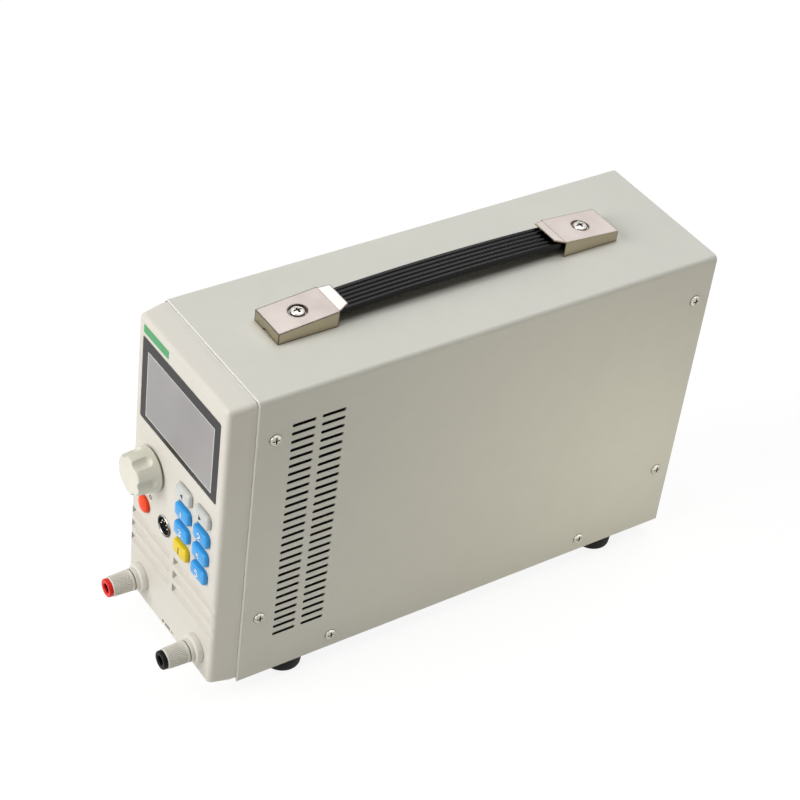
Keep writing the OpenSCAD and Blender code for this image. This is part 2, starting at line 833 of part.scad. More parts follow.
module panel_screws() {
  color(zinc) in_case() {
    for (s = [-1, 1]) {
      for (z = plate_boss_zs)
        translate([s * boss_x, plate_y + sheet_t, z]) rotate([-90, 0, 0]) panel_screw();
      for (z = board_boss_zs)
        translate([s * boss_x, board_y + board_t, z]) rotate([-90, 0, 0]) panel_screw();
      to_rear(s * inlet_screw_x, inlet_z) translate([0, 0, inlet_flange_t])
        screw(screw_l + 2);
    }
  }
}

module panel_screw() { screw(screw_l, r = pilot_r - run_gap); }

// Display
module display_window() {
  color(window_tone) in_case()
    to_front(0, window_t - bezel_d, window_z)
      linear_extrude(window_t) rrect(window_w, window_h, window_r);
}

module display_module() {
  color(display_tone) in_case() difference() {
    to_front(0, wall_in + module_t, view_z)
      linear_extrude(module_t) rrect(module_w, module_h, 1);
    to_front(0, wall_in + display_step, view_z)
      linear_extrude(display_step + cut) square([view_w, view_h], center = true);
  }
}

module control_board() {
  color(board_green) in_case() difference() {
    translate([-board_w / 2, board_y, board_low])
      cube([board_w, board_t, board_high - board_low]);
    for (s = [-1, 1], z = board_boss_zs)
      to_front(s * boss_x, board_y + board_t + cut, z)
        cylinder(h = board_t + 2 * cut, r = screw_r);
    to_front(sense_x, board_y + board_t + cut, sense_z)
      cylinder(h = board_t + 2 * cut, r = sense_barrel_r + fit_gap);
  }
}

// Keys
module keypad_mat() {
  key_block_w = key_col_pitch + key_w;
  key_block_h = (key_rows - 1) * key_row_pitch + key_h + 2;
  block_z = key_top_z - (key_rows - 1) / 2 * key_row_pitch;
  color(mat_tone) in_case() difference() {
    union() {
      to_front((key_left_x + key_right_x) / 2, board_y, block_z)
        linear_extrude(mat_t) rrect(key_block_w, key_block_h, 2);
      to_front(button_x, board_y, button_z) cylinder(h = mat_t, r = button_r + 1.5);
    }
    for (x = [key_left_x, key_right_x], row = [0:key_rows - 1])
      to_front(x, board_y + cut, key_top_z - row * key_row_pitch)
        linear_extrude(mat_t + 2 * cut)
          square([stem_w, stem_h] + 2 * [soft_gap, soft_gap], center = true);
    to_front(button_x, board_y + cut, button_z)
      cylinder(h = mat_t + 2 * cut, r = button_stem_r + soft_gap);
  }
}

module key_corner(x, y) {
  translate([x, y, 0]) {
    cylinder(h = key_edge, r = key_r, $fn = 32);
    translate([0, 0, key_out - key_edge - key_crown]) rotate_extrude($fn = 32) intersection() {
      translate([key_r - key_edge, 0]) circle(key_edge, $fn = 32);
      translate([0, -key_edge]) square([key_r, 2 * key_edge]);
    }
  }
}

// Key in its own frame: z = 0 on the panel's front face
module key_cap() {
  hull() {
    for (sx = [-1, 1], sy = [-1, 1])
      key_corner(sx * (key_w / 2 - key_r), sy * (key_h / 2 - key_r));
    linear_extrude(key_out) square([key_w * 0.5, key_h * 0.35], center = true);
  }
}

module key(column, row, tone) {
  x = column == 0 ? key_left_x : key_right_x;
  z = key_top_z - row * key_row_pitch;
  color(tone) in_case() {
    to_front(x, -bezel_d, z) key_cap();
    to_front(x, wall_in + fit_gap / 2, z)
      linear_extrude(bezel_wall - fit_gap / 2 + 0.5) rrect(key_w, key_h, key_r);
    to_front(x, wall_in + fit_gap / 2 + flange_t, z)
      linear_extrude(flange_t) rrect(key_w + 2 * flange_rim, key_h + 2 * flange_rim, key_r);
    to_front(x, stem_rear, z)
      linear_extrude(stem_rear - wall_in - flange_t / 2) square([stem_w, stem_h], center = true);
  }
}

module key_left() { key(0, 0, key_grey_tone); }
module key_right() { key(1, 0, key_grey_tone); }
module key_blue_1() { key(0, 1, key_blue_tone); }
module key_blue_2() { key(1, 1, key_blue_tone); }
module key_blue_3() { key(0, 2, key_blue_tone); }
module key_blue_4() { key(1, 2, key_blue_tone); }
module key_blue_5() { key(1, 3, key_blue_tone); }
module key_yellow() { key(0, 3, key_yellow_tone); }

module key_red() {
  dome_r = (button_r * button_r + button_dome * button_dome) / (2 * button_dome);
  side = button_out - button_dome;
  inside = bezel_wall + fit_gap / 2;
  color(red_tone) in_case() to_front(button_x, -bezel_d, button_z) rotate_extrude() {
    translate([0, -inside]) square([button_r, inside + side]);
    intersection() {
      translate([0, side]) square([button_r, button_dome]);
      translate([0, button_out - dome_r]) circle(dome_r, $fn = 96);
    }
    translate([0, -inside - flange_t]) square([button_r + flange_rim, flange_t]);
    translate([0, -stem_rear - bezel_d]) square([button_stem_r, stem_rear + bezel_d - inside]);
  }
}

// Encoder and knob
module encoder_body() {
  front = wall_in;
  rear = board_y - fit_gap;
  color(zinc) in_case() difference() {
    union() {
      translate([knob_x - encoder_w / 2, rear - encoder_l + fit_gap, knob_z - encoder_w / 2])
        cube([encoder_w, encoder_l - fit_gap, encoder_w]);
      to_front(knob_x, front + fit_gap, knob_z) cylinder(h = bush_l + fit_gap, r = bush_r);
    }
    to_front(knob_x, rear + cut, knob_z) {
      cylinder(h = encoder_l + bush_l + 2 * cut, r = shaft_r + run_gap);
      cylinder(h = chamber_l + cut, r = plunger_r + run_gap);
    }
  }
}

module encoder_plunger() {
  color(white_tone) in_case()
    to_front(knob_x, shaft_end + run_gap + plunger_t, knob_z) cylinder(h = plunger_t, r = plunger_r);
}

module encoder_shaft() {
  color(zinc) in_case()
    to_front(knob_x, shaft_end, knob_z) cylinder(h = shaft_end - shaft_tip, r = shaft_r);
}

module knob() {
  color(knob_grey) in_case() to_front(knob_x, knob_back, knob_z) difference() {
    rotate_extrude() {
      polygon([[0, 0], [knob_r, 0], [knob_r, 1], [knob_face_r, knob_l - knob_fillet],
               [knob_face_r - knob_fillet, knob_l], [0, knob_l]]);
      translate([knob_face_r - knob_fillet, knob_l - knob_fillet]) circle(knob_fillet);
    }
    translate([0, 0, -cut]) {
      cylinder(h = knob_back - shaft_tip + fit_gap + cut, r = shaft_r + run_gap);
      cylinder(h = knob_hollow_l + cut, r = knob_hollow_r);
    }
    for (i = [0:flutes - 1])
      rotate(flute_turn + i * 360 / flutes)
        translate([knob_face_r - flute_depth + flute_r, 0, flute_end]) {
          cylinder(h = knob_l, r = flute_r);
          sphere(flute_r);
        }
  }
}

// Sense socket
module sense_socket() {
  color(nickel) in_case() to_front(sense_x, -bezel_d, sense_z) rotate_extrude() difference() {
    union() {
      square([sense_r, sense_lip]);
      translate([0, -sense_l]) square([sense_barrel_r, sense_l]);
    }
    translate([0, -sense_l - cut]) square([sense_bore_r, sense_l + sense_lip + 2 * cut]);
  }
}

module sense_insert() {
  color(black_tone) in_case() to_front(sense_x, -bezel_d, sense_z) difference() {
    translate([0, 0, -sense_l]) cylinder(h = sense_l, r = sense_bore_r - run_gap);
    for (i = [0:sense_pins - 1])
      rotate(45 * i) translate([sense_bore_r * 0.62, 0, -sense_pin_l])
        cylinder(h = sense_pin_l + cut, r = sense_pin_r);
    translate([0, -sense_bore_r * 0.55, cut - sense_key[2] / 2]) cube(sense_key, center = true);
  }
}

// Binding posts, each in its own frame: z = 0 on the panel's front face, +Z outwards
module post_at(side) { in_case() to_front(side * post_x, -bezel_d, post_z) children(); }

module post_base(side) {
  shoulder = post_base_l - base_neck_l;
  color(post_grey) post_at(side) difference() {
    rotate_extrude() {
      polygon([[0, 0], [post_flange_r, 0], [post_flange_r, base_rim], [neck_r + 0.6, shoulder],
               [neck_r, shoulder], [neck_r, post_base_l], [0, post_base_l]]);
      translate([0, -bezel_wall]) square([spigot_r, bezel_wall + cut]);
    }
    translate([0, 0, -bezel_wall - cut])
      cylinder(h = bezel_wall + post_base_l + 2 * cut, r = stud_r + run_gap);
  }
}

module post_stud(side) {
  color(brass_tone) post_at(side) difference() {
    translate([0, 0, -stud_in]) cylinder(h = stud_in + stud_front, r = stud_r);
    translate([0, 0, stud_front - socket_l]) cylinder(h = socket_l + cut, r = socket_r);
  }
}

module post_cap(side) {
  color(post_grey) post_at(side) translate([0, 0, post_base_l + post_gap]) difference() {
    union() {
      cylinder(h = cap_collar, r = post_cap_r);
      linear_extrude(cap_collar + grip_l) difference() {
        circle(post_cap_r - 0.1);
        for (i = [0:grip_grooves - 1])
          rotate(i * 360 / grip_grooves)
            translate([post_cap_r + groove_r - groove_depth, 0]) circle(groove_r);
      }
      translate([0, 0, cap_collar + grip_l])
        cylinder(h = cap_nose, r1 = nose_r, r2 = nose_r - cap_nose / 2);
    }
    translate([0, 0, -cut]) cylinder(h = post_cap_l + 2 * cut, r = stud_r + run_gap);
    translate([0, 0, post_cap_l - tip_spigot_l - fit_gap])
      cylinder(h = tip_spigot_l + fit_gap + cut, r = tip_spigot_r + run_gap);
  }
}

module post_tip(side, tone) {
  color(tone) post_at(side) translate([0, 0, cap_front]) difference() {
    rotate_extrude() {
      square([post_tip_r, post_tip_l - tip_edge]);
      square([post_tip_r - tip_edge, post_tip_l]);
      translate([post_tip_r - tip_edge, post_tip_l - tip_edge]) circle(tip_edge);
      translate([0, -tip_spigot_l]) square([tip_spigot_r, tip_spigot_l]);
    }
    translate([0, 0, -tip_spigot_l - cut])
      cylinder(h = tip_spigot_l + cut + stud_front - cap_front + 0.1, r = stud_r + run_gap);
    cylinder(h = post_tip_l + cut, r = tip_hole_r);
  }
}

module red_post_base() { post_base(-1); }
module red_post_stud() { post_stud(-1); }
module red_post_cap() { post_cap(-1); }
module red_post_tip() { post_tip(-1, red_tone); }
module black_post_base() { post_base(1); }
module black_post_stud() { post_stud(1); }
module black_post_cap() { post_cap(1); }
module black_post_tip() { post_tip(1, black_tone); }

module post_nuts() {
  for (side = [-1, 1])
    color(nickel) post_at(side) {
      translate([0, 0, -bezel_wall - washer_t]) difference() {
        cylinder(h = washer_t, r = nut_r + 1);
        translate([0, 0, -cut]) cylinder(h = washer_t + 2 * cut, r = stud_r + run_gap);
      }
      translate([0, 0, -bezel_wall - washer_t - run_gap - nut_t]) difference() {
        cylinder(h = nut_t, r = nut_r, $fn = 6);
        translate([0, 0, -cut]) cylinder(h = nut_t + 2 * cut, r = stud_r + run_gap);
      }
    }
}

// Strap
module strap_section() {
  translate([0, -strap_t / 2 - rib_sink])
    square([strap_w - rib_pitch, strap_t - 2 * rib_sink], center = true);
  for (i = [0:strap_ribs - 1])
    translate([(i - (strap_ribs - 1) / 2) * rib_pitch, -rib_pitch / 2]) circle(rib_pitch / 2);
  for (s = [-1, 1])
    translate([s * (strap_w - rib_pitch) / 2, -strap_t + rib_pitch / 2]) circle(rib_pitch / 2);
  for (s = [-1, 1])
    translate([s * (strap_w - rib_pitch) / 2, -strap_t / 2])
      square([rib_pitch, strap_t - rib_pitch], center = true);
}

module strap_tongue(dir) {
  translate([0, strap_mid - dir * (half_run + cap_l / 2), case_h + tongue_z])
    linear_extrude(tongue_t) difference() {
      translate([0, dir * tongue_shift]) square([tongue_w, tongue_l], center = true);
      translate([0, dir * (cap_outer - cap_l / 2)]) rotate(90)
        slot2d(tongue_slot_l, 2 * tongue_slot_r);
    }
}

module strap() {
  color(black_tone) in_case() {
    translate([0, strap_mid, case_h + strap_top - strap_bow_r])
      rotate([0, -90, 0]) rotate([0, 0, -strap_arc / 2])
        rotate_extrude(angle = strap_arc, $fn = 96)
          translate([strap_bow_r, 0]) rotate(-90) strap_section();
    for (dir = [-1, 1])
      strap_tongue(dir);
  }
}

// End cap in its own frame: x across, y from its outer end towards the strap, z = 0 on the case
module strap_cap() {
  difference() {
    along_x(cap_w) polygon([[0, 0], [cap_l, 0], [cap_l, cap_high], [0, cap_low]]);
    difference() {
      along_x(cap_w - 2 * cap_t)
        polygon([[cap_t, -cut], [cap_l + cut, -cut],
                 [cap_l + cut, cap_high - cap_t + cap_slope * cut],
                 [cap_t, cap_low - cap_t + cap_slope * cap_t]]);
      translate([0, cap_outer, dimple_z - cap_t]) cylinder(h = cap_high, r = dimple_r + cap_t);
    }
    translate([0, cap_outer, dimple_z]) cylinder(h = cap_high, r = dimple_r);
    translate([0, cap_outer, 0]) cylinder(h = cap_high, r = strap_screw_r + hole_gap);
    translate([0, 0, notch[2] / 2]) cube(notch, center = true);
  }
  translate([0, cap_l, cap_high]) rotate([lip_lift, 0, 0]) translate([0, 0, lip_inset - cap_t])
    linear_extrude(cap_t - 2 * lip_inset)
      polygon([[-lip_root, -lip_tuck], [lip_root, -lip_tuck], [lip_root, 0], [lip_w / 2, lip_l],
               [-lip_w / 2, lip_l], [-lip_root, 0]]);
}

module strap_cap_front() {
  color(nickel) in_case() translate([0, strap_ys[0] - cap_outer, case_h]) strap_cap();
}

module strap_cap_rear() {
  color(nickel) in_case() translate([0, strap_ys[1] + cap_outer, case_h]) rotate(180) strap_cap();
}

module strap_screws() {
  color(nickel) in_case()
    for (y = strap_ys)
      translate([0, y, case_h]) {
        translate([0, 0, dimple_z])
          screw(dimple_z + sheet_t + strap_screw_over, strap_screw_r, strap_head_r, strap_head_h);
        translate([0, 0, -sheet_t - strap_nut_t]) difference() {
          cylinder(h = strap_nut_t, r = strap_nut_r, $fn = 6);
          translate([0, 0, -cut])
            cylinder(h = strap_nut_t + 2 * cut, r = strap_screw_r + run_gap);
        }
      }
}

// Feet
module rubber_feet() {
  color(black_tone)
    for (p = foot_places)
      translate([p[0], p[1] + cover_y, 0]) difference() {
        rotate_extrude() {
          polygon([[0, 0], [foot_r - foot_draft - foot_edge, 0], [foot_r - foot_draft, foot_edge],
                   [foot_r, foot_h], [0, foot_h]]);
          translate([foot_r - foot_draft - foot_edge, foot_edge]) circle(foot_edge);
        }
        translate([0, 0, -cut]) {
          cylinder(h = foot_recess + cut, r = foot_recess_r);
          cylinder(h = foot_h + 2 * cut, r = screw_r + hole_gap);
        }
      }
}

module foot_screws() {
  color(zinc)
    for (p = foot_places)
      translate([p[0], p[1] + cover_y, foot_recess]) rotate([180, 0, 0])
        screw(foot_h - foot_recess + sheet_t + foot_screw_over);
}

// Power stage
module heat_sink() {
  fin_pitch = (sink_w - fin_t) / (fins - 1);
  color(alloy) in_case() difference() {
    translate([0, sink_y, 0]) along_y(sink_l) {
      translate([-sink_w / 2, sink_top - sink_base_t]) square([sink_w, sink_base_t]);
      for (i = [0:fins - 1])
        translate([i * fin_pitch - sink_w / 2, sink_low])
          square([fin_t, sink_top - sink_low - cut]);
      for (s = [-1, 1])
        translate([s * sink_leg_x, sheet_t]) {
          translate([-fin_t, 0]) square([2 * fin_t, sink_top - sheet_t - cut]);
          translate([-sink_foot_w / 2, 0]) square([sink_foot_w, sink_foot_t]);
        }
    }
    for (s = [-1, 1], y = standoff_ys)
      translate([s * standoff_x, y, sink_top - sink_base_t])
        cylinder(h = sink_base_t + cut, r = screw_r + run_gap);
  }
}

module mosfets() {
  color(black_tone) in_case()
    for (s = [-1, 1], i = [0:mosfets_per_row - 1])
      translate([s * mosfet_x, sink_y + mosfet_start + i * mosfet_pitch, sink_top]) {
        translate([-mosfet_body[0] / 2, 0, 0]) cube(mosfet_body);
        for (k = [-1:1])
          translate([k * mosfet_leg_pitch - mosfet_leg[0] / 2, -mosfet_leg[1], mosfet_body[2] / 2]) {
            cube([mosfet_leg[0], mosfet_leg[1] + cut, mosfet_leg[2]]);
            cube([mosfet_leg[0], mosfet_leg[2], standoff_l - mosfet_body[2] / 2]);
          }
      }
}

module power_board() {
  color(board_green) in_case() difference() {
    translate([-power_w / 2, sink_y, power_z]) cube([power_w, power_l, board_t]);
    for (s = [-1, 1], y = standoff_ys)
      translate([s * standoff_x, y, power_z - cut])
        cylinder(h = board_t + 2 * cut, r = screw_r + run_gap);
  }
}

module board_standoffs() {
  color(brass_tone) in_case()
    for (s = [-1, 1], y = standoff_ys)
      translate([s * standoff_x, y, sink_top]) {
        cylinder(h = standoff_l, r = standoff_r, $fn = 6);
        translate([0, 0, 2 - sink_base_t]) cylinder(h = sink_base_t - 1, r = screw_r);
        translate([0, 0, standoff_l - cut]) cylinder(h = cut + board_t + 1, r = screw_r);
      }
}

module capacitors() {
  color(sleeve_tone) in_case()
    for (i = [0:capacitor_count - 1])
      translate([0, sink_y + capacitor_start + i * capacitor_pitch, power_z + board_t]) rotate_extrude() {
        square([capacitor_r, capacitor_l - capacitor_edge]);
        square([capacitor_r - capacitor_edge, capacitor_l]);
      }
}

module transformer_core() {
  color(core_tone) in_case()
    translate([0, core_y - core_t / 2, sheet_t]) along_y(core_t) difference() {
      translate([-core_w / 2, 0]) square([core_w, core_h]);
      for (s = [-1, 1])
        translate([s * (leg_w + window_core_w) / 2, core_h / 2])
          square([window_core_w, window_core_h], center = true);
    }
}

module transformer_winding() {
  coil_w = leg_w + 2 * (window_core_w - fit_gap);
  coil_h = window_core_h - 2 * fit_gap;
  color(copper) in_case() translate([0, core_y, sheet_t + core_h / 2]) difference() {
    translate([0, 0, -coil_h / 2]) linear_extrude(coil_h)
      rrect(coil_w, core_t + 2 * winding_over, winding_corner_r);
    cube([leg_w + 2 * fit_gap, core_t + 2 * fit_gap, core_h], center = true);
  }
}

// Heavy leads: a round section swept along the run
function unit(v) = v / norm(v);

function run_dir(run, i) =
  unit(run[min(i + 1, len(run) - 1)] - run[max(i - 1, 0)]);

function ring(run, i) =
  let (dir = i == 0 ? [0, 1, 0] : run_dir(run, i),
       side = unit(cross(dir, [1, 0, 0])),
       other = cross(side, dir))
  [for (k = [0:lead_sides - 1])
    run[i] + lead_r * (cos(360 * k / lead_sides) * side + sin(360 * k / lead_sides) * other)];

module lead(side) {
  way = lead_to - lead_from;
  run = [for (share = lead_shares)
    [side * (lead_from[0] + share[0] * way[0]), lead_from[1] + share[1] * way[1],
     lead_from[2] + share[2] * way[2]]];
  last = len(run) - 1;
  points = [for (i = [0:last]) each ring(run, i)];
  walls = [for (i = [0:last - 1], k = [0:lead_sides - 1])
    let (n = (k + 1) % lead_sides)
    [i * lead_sides + k, i * lead_sides + n, (i + 1) * lead_sides + n, (i + 1) * lead_sides + k]];
  front_end = [for (k = [0:lead_sides - 1]) lead_sides - 1 - k];
  rear_end = [for (k = [0:lead_sides - 1]) last * lead_sides + k];
  polyhedron(points, concat(walls, [front_end, rear_end]));
}

module red_lead() { color(red_tone) in_case() lead(-1); }
module black_lead() { color(black_tone) in_case() lead(1); }

// Fan, in its own frame: z = 0 on its inner face, +Z towards the rear panel
module fan_at() { in_case() translate([0, fan_front, fan_z]) rotate([-90, 0, 0]) children(); }

module fan_corners() {
  for (sx = [-1, 1], sy = [-1, 1])
    translate([sx * fan_pitch / 2, sy * fan_pitch / 2, 0]) children();
}

module fan_frame() {
  color(black_tone) fan_at() {
    difference() {
      linear_extrude(fan_t) rrect(fan_w, fan_w, fan_corner_r);
      translate([0, 0, -cut]) cylinder(h = fan_t + 2 * cut, r = fan_bore_r);
      fan_corners() translate([0, 0, -cut]) cylinder(h = fan_t + 2 * cut, r = fan_hole_r);
    }
    translate([0, 0, fan_t - spider_t]) cylinder(h = spider_t, r = hub_r);
    for (i = [0:spider_arms - 1])
      rotate(45 + i * 360 / spider_arms) translate([hub_r - cut, -spider_w / 2, fan_t - spider_t])
        cube([fan_bore_r - hub_r + 1.5 * cut, spider_w, spider_t]);
    translate([0, 0, rotor_front + rotor_cap_t + cut])
      cylinder(h = fan_t - spider_t - rotor_front - rotor_cap_t, r = axle_r);
  }
}

module fan_blade() {
  linear_extrude(rotor_l - 2 * blade_inset, twist = blade_twist, slices = 5, segments = 4, $fn = 4)
    translate([hub_r - cut, -blade_t / 2]) square([blade_tip_r - hub_r + cut, blade_t]);
}

module fan_rotor() {
  color(black_tone) fan_at() translate([0, 0, rotor_front]) difference() {
    union() {
      cylinder(h = rotor_l, r = hub_r);
      for (i = [0:blades - 1])
        rotate(i * 360 / blades) translate([0, 0, blade_inset]) fan_blade();
    }
    translate([0, 0, rotor_cap_t]) cylinder(h = rotor_l, r = axle_r + run_gap);
  }
}

module wire_ring(r) {
  rotate_extrude() translate([r, 0]) circle(guard_wire_r, $fn = 16);
}

module wire_leg(len) {
  rotate([0, 90, 0]) cylinder(h = len, r = guard_leg_r, $fn = 16);
}

module fan_guard() {
  reach = fan_pitch / sqrt(2);
  inner = guard_rings[0] * fan_bore_r;
  bend = guard_rings[3] * fan_bore_r + guard_wire_r;
  color(nickel) in_case() to_rear(0, fan_z) {
    for (part = guard_rings)
      translate([0, 0, guard_rise - guard_wire_r]) wire_ring(part * fan_bore_r);
    for (i = [0:3])
      rotate(45 + 90 * i) {
        translate([inner - 0.5, 0, guard_rise - 2.2 * guard_wire_r])
          wire_leg(bend - inner + 0.9);
        translate([bend, 0, 0.1])
          cylinder(h = guard_rise - 1.8 * guard_wire_r, r = guard_wire_r, $fn = 16);
        translate([bend, 0, guard_wire_r]) wire_leg(reach - guard_eye_r - bend + 0.9);
        translate([reach, 0, guard_wire_r]) wire_ring(guard_eye_r - guard_wire_r);
      }
  }
}

module fan_screws() {
  color(zinc) in_case()
    for (sx = [-1, 1], sz = [-1, 1])
      to_rear(sx * fan_pitch / 2, fan_z + sz * fan_pitch / 2)
        translate([0, 0, 2 * guard_wire_r]) screw(fan_t / 2);
}

// Mains inlet, in a frame with z = 0 on the rear panel's outer face
module inlet_socket() {
  w = inlet_w / 2;
  h = inlet_h / 2;
  polygon([[-w, -h], [w, -h], [w, h - inlet_bevel], [w - inlet_bevel, h], [inlet_bevel - w, h],
           [-w, h - inlet_bevel]]);
}

module inlet_pin_places() {
  for (p = [[-pin_spread, -pin_step / 2], [pin_spread, -pin_step / 2], [0, pin_step / 2]])
    translate([p[0], inlet_v + p[1], 0]) children();
}

module mains_inlet() {
  color(black_tone) in_case() to_rear(0, inlet_z) difference() {
    union() {
      linear_extrude(inlet_flange_t) rrect(inlet_flange[0], inlet_flange[1], inlet_flange_r);
      translate([0, 0, -inlet_body_l]) linear_extrude(inlet_body_l + cut)
        rrect(inlet_body[0], inlet_body[1], 1);
    }
    translate([0, inlet_v, inlet_flange_t - inlet_deep]) linear_extrude(inlet_deep + cut) inlet_socket();
    translate([0, fuse_v, inlet_flange_t - fuse_l - fit_gap])
      linear_extrude(fuse_l + fit_gap + cut) square(fuse_size + 2 * [fit_gap, fit_gap], center = true);
    inlet_pin_places() translate([0, 0, -inlet_body_l - cut]) linear_extrude(inlet_body_l)
      square(pin_size + 2 * [run_gap, run_gap], center = true);
    for (s = [-1, 1])
      translate([s * inlet_screw_x, 0, -cut])
        cylinder(h = inlet_flange_t + 2 * cut, r = screw_r + hole_gap);
  }
}

module inlet_pins() {
  color(brass_tone) in_case() to_rear(0, inlet_z)
    inlet_pin_places() translate([0, 0, -inlet_body_l - pin_tail])
      linear_extrude(inlet_body_l + pin_tail + 0.5) square(pin_size, center = true);
}

module fuse_drawer() {
  color(black_tone) in_case() to_rear(0, inlet_z) translate([0, fuse_v, 0]) difference() {
    translate([0, 0, inlet_flange_t - fuse_l]) linear_extrude(fuse_l) square(fuse_size, center = true);
    translate([0, 0, inlet_flange_t - fuse_bay_front - fuse_bay[0]]) linear_extrude(fuse_bay[0])
      square([fuse_size[0] + cut, fuse_bay[1]], center = true);
    translate([0, -fuse_size[1] / 2, inlet_flange_t - 1]) cube(fuse_notch, center = true);
  }
}

module rocker_housing() {
  color(black_tone) in_case() to_rear(-rocker_x, port_z) difference() {
    union() {
      linear_extrude(rocker_flange_t)
        rrect(rocker_body[0] + 2 * rocker_lip, rocker_body[1] + 2 * rocker_lip, rocker_lip);
      translate([0, 0, -rocker_body_l]) linear_extrude(rocker_body_l + rocker_flange_t / 2)
        square(rocker_body, center = true);
    }
    translate([0, 0, -rocker_body_l + rocker_wall])
      linear_extrude(rocker_body_l + rocker_flange_t) square(rocker_hole, center = true);
    translate([0, 0, -rocker_pivot]) along_x(rocker_hole[0] + rocker_wall)
      circle(rocker_pin_r + run_gap);
  }
}

// Rocker, pressed at one end when at rest
module power_rocker() {
  sweep_r = rocker_size[1] / 2;
  color(black_tone) in_case() to_rear(-rocker_x, port_z) translate([0, 0, -rocker_pivot])
    rotate([rocker_turn / 2, 0, 0]) {
      along_x(rocker_size[0]) intersection() {
        circle(sweep_r, $fn = 64);
        polygon([[-sweep_r, -rocker_low], [sweep_r, -rocker_low], [sweep_r, rocker_ear],
                 [0, rocker_waist], [-sweep_r, rocker_ear]]);
      }
      along_x(rocker_hole[0] + rocker_wall - fit_gap) circle(rocker_pin_r);
    }
}

// Serial port, in a frame with z = 0 on the rear panel's outer face
module d_outline(w, h) {
  lean = h * tan(port_lean) / 2;
  hull()
    for (s = [-1, 1], t = [-1, 1])
      translate([s * (w / 2 - port_corner_r - lean + t * lean), t * (h / 2 - port_corner_r)])
        circle(port_corner_r, $fn = 32);
}

module serial_port() {
  color(nickel) in_case() to_rear(port_x, port_z) {
    difference() {
      union() {
        linear_extrude(port_flange_t) rrect(port_flange[0], port_flange[1], port_corner_r);
        linear_extrude(port_out) d_outline(port_shell[0], port_shell[1]);
        translate([0, 0, -port_tail]) linear_extrude(port_tail + port_flange_t / 2)
          rrect(port_shell[0] + 1, port_shell[1], 1);
      }
      for (row = [0, 1], i = [0:4 - row])
        translate([(i - (4 - row) / 2) * port_pin_pitch, (0.5 - row) * port_row_pitch,
                   port_out - port_pin_l])
          cylinder(h = port_pin_l + cut, r = port_pin_r);
      for (s = [-1, 1])
        translate([s * port_pitch / 2, 0, -cut])
          cylinder(h = port_flange_t + 2 * cut, r = jack_hole_r + hole_gap);
    }
    for (s = [-1, 1])
      translate([s * port_pitch / 2, 0, port_flange_t]) difference() {
        union() {
          cylinder(h = jack_l - port_flange_t, r = jack_r, $fn = 6);
          translate([0, 0, -jack_shank_l])
            cylinder(h = jack_shank_l + jack_l - port_flange_t - jack_hole_l, r = jack_hole_r);
        }
        translate([0, 0, jack_l - port_flange_t - jack_hole_l])
          cylinder(h = jack_hole_l + cut, r = jack_hole_r);
      }
  }
}

case_cover();
bottom_tray();
rear_panel();
front_plate();
front_bezel();
cover_screws();
panel_screws();
rubber_feet();
foot_screws();
strap();
strap_cap_front();
strap_cap_rear();
strap_screws();
display_window();
display_module();
control_board();
keypad_mat();
key_left();
key_right();
key_blue_1();
key_blue_2();
key_blue_3();
key_blue_4();
key_blue_5();
key_yellow();
key_red();
encoder_body();
encoder_plunger();
encoder_shaft();
knob();
sense_socket();
sense_insert();
red_post_base();
red_post_stud();
red_post_cap();
red_post_tip();
black_post_base();
black_post_stud();
black_post_cap();
black_post_tip();
post_nuts();
heat_sink();
mosfets();
power_board();
board_standoffs();
capacitors();
transformer_core();
transformer_winding();
red_lead();
black_lead();
fan_frame();
fan_rotor();
fan_guard();
fan_screws();
mains_inlet();
inlet_pins();
fuse_drawer();
rocker_housing();
power_rocker();
serial_port();
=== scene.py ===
import json
import math

import bmesh
import bpy
from mathutils import Matrix, Vector


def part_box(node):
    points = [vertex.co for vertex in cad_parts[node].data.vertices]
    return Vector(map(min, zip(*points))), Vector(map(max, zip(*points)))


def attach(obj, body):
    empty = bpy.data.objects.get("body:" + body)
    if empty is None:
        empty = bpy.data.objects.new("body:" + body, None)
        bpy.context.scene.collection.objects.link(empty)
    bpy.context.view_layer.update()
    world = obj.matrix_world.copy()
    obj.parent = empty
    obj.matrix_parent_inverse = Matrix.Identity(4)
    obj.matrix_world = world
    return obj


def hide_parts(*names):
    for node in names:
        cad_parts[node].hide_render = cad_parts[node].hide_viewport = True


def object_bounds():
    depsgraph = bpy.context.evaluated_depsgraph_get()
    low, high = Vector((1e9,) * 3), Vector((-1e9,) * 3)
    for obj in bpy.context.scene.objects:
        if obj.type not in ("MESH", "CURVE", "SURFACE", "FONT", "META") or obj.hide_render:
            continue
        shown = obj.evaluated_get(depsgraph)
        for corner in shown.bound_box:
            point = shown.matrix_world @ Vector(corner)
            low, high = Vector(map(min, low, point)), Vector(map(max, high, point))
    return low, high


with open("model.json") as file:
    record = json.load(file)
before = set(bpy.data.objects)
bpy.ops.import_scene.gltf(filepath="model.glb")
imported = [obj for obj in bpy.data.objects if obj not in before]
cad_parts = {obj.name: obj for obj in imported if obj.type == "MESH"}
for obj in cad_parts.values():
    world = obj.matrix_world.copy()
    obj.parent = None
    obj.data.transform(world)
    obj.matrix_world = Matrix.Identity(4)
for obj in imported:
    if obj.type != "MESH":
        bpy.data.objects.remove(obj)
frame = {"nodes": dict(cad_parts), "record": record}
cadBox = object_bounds()
nodes = frame["nodes"]
mm = 0.001
tau = 2 * math.pi
print("frame loaded:", len(nodes), "solids")


# Shader values

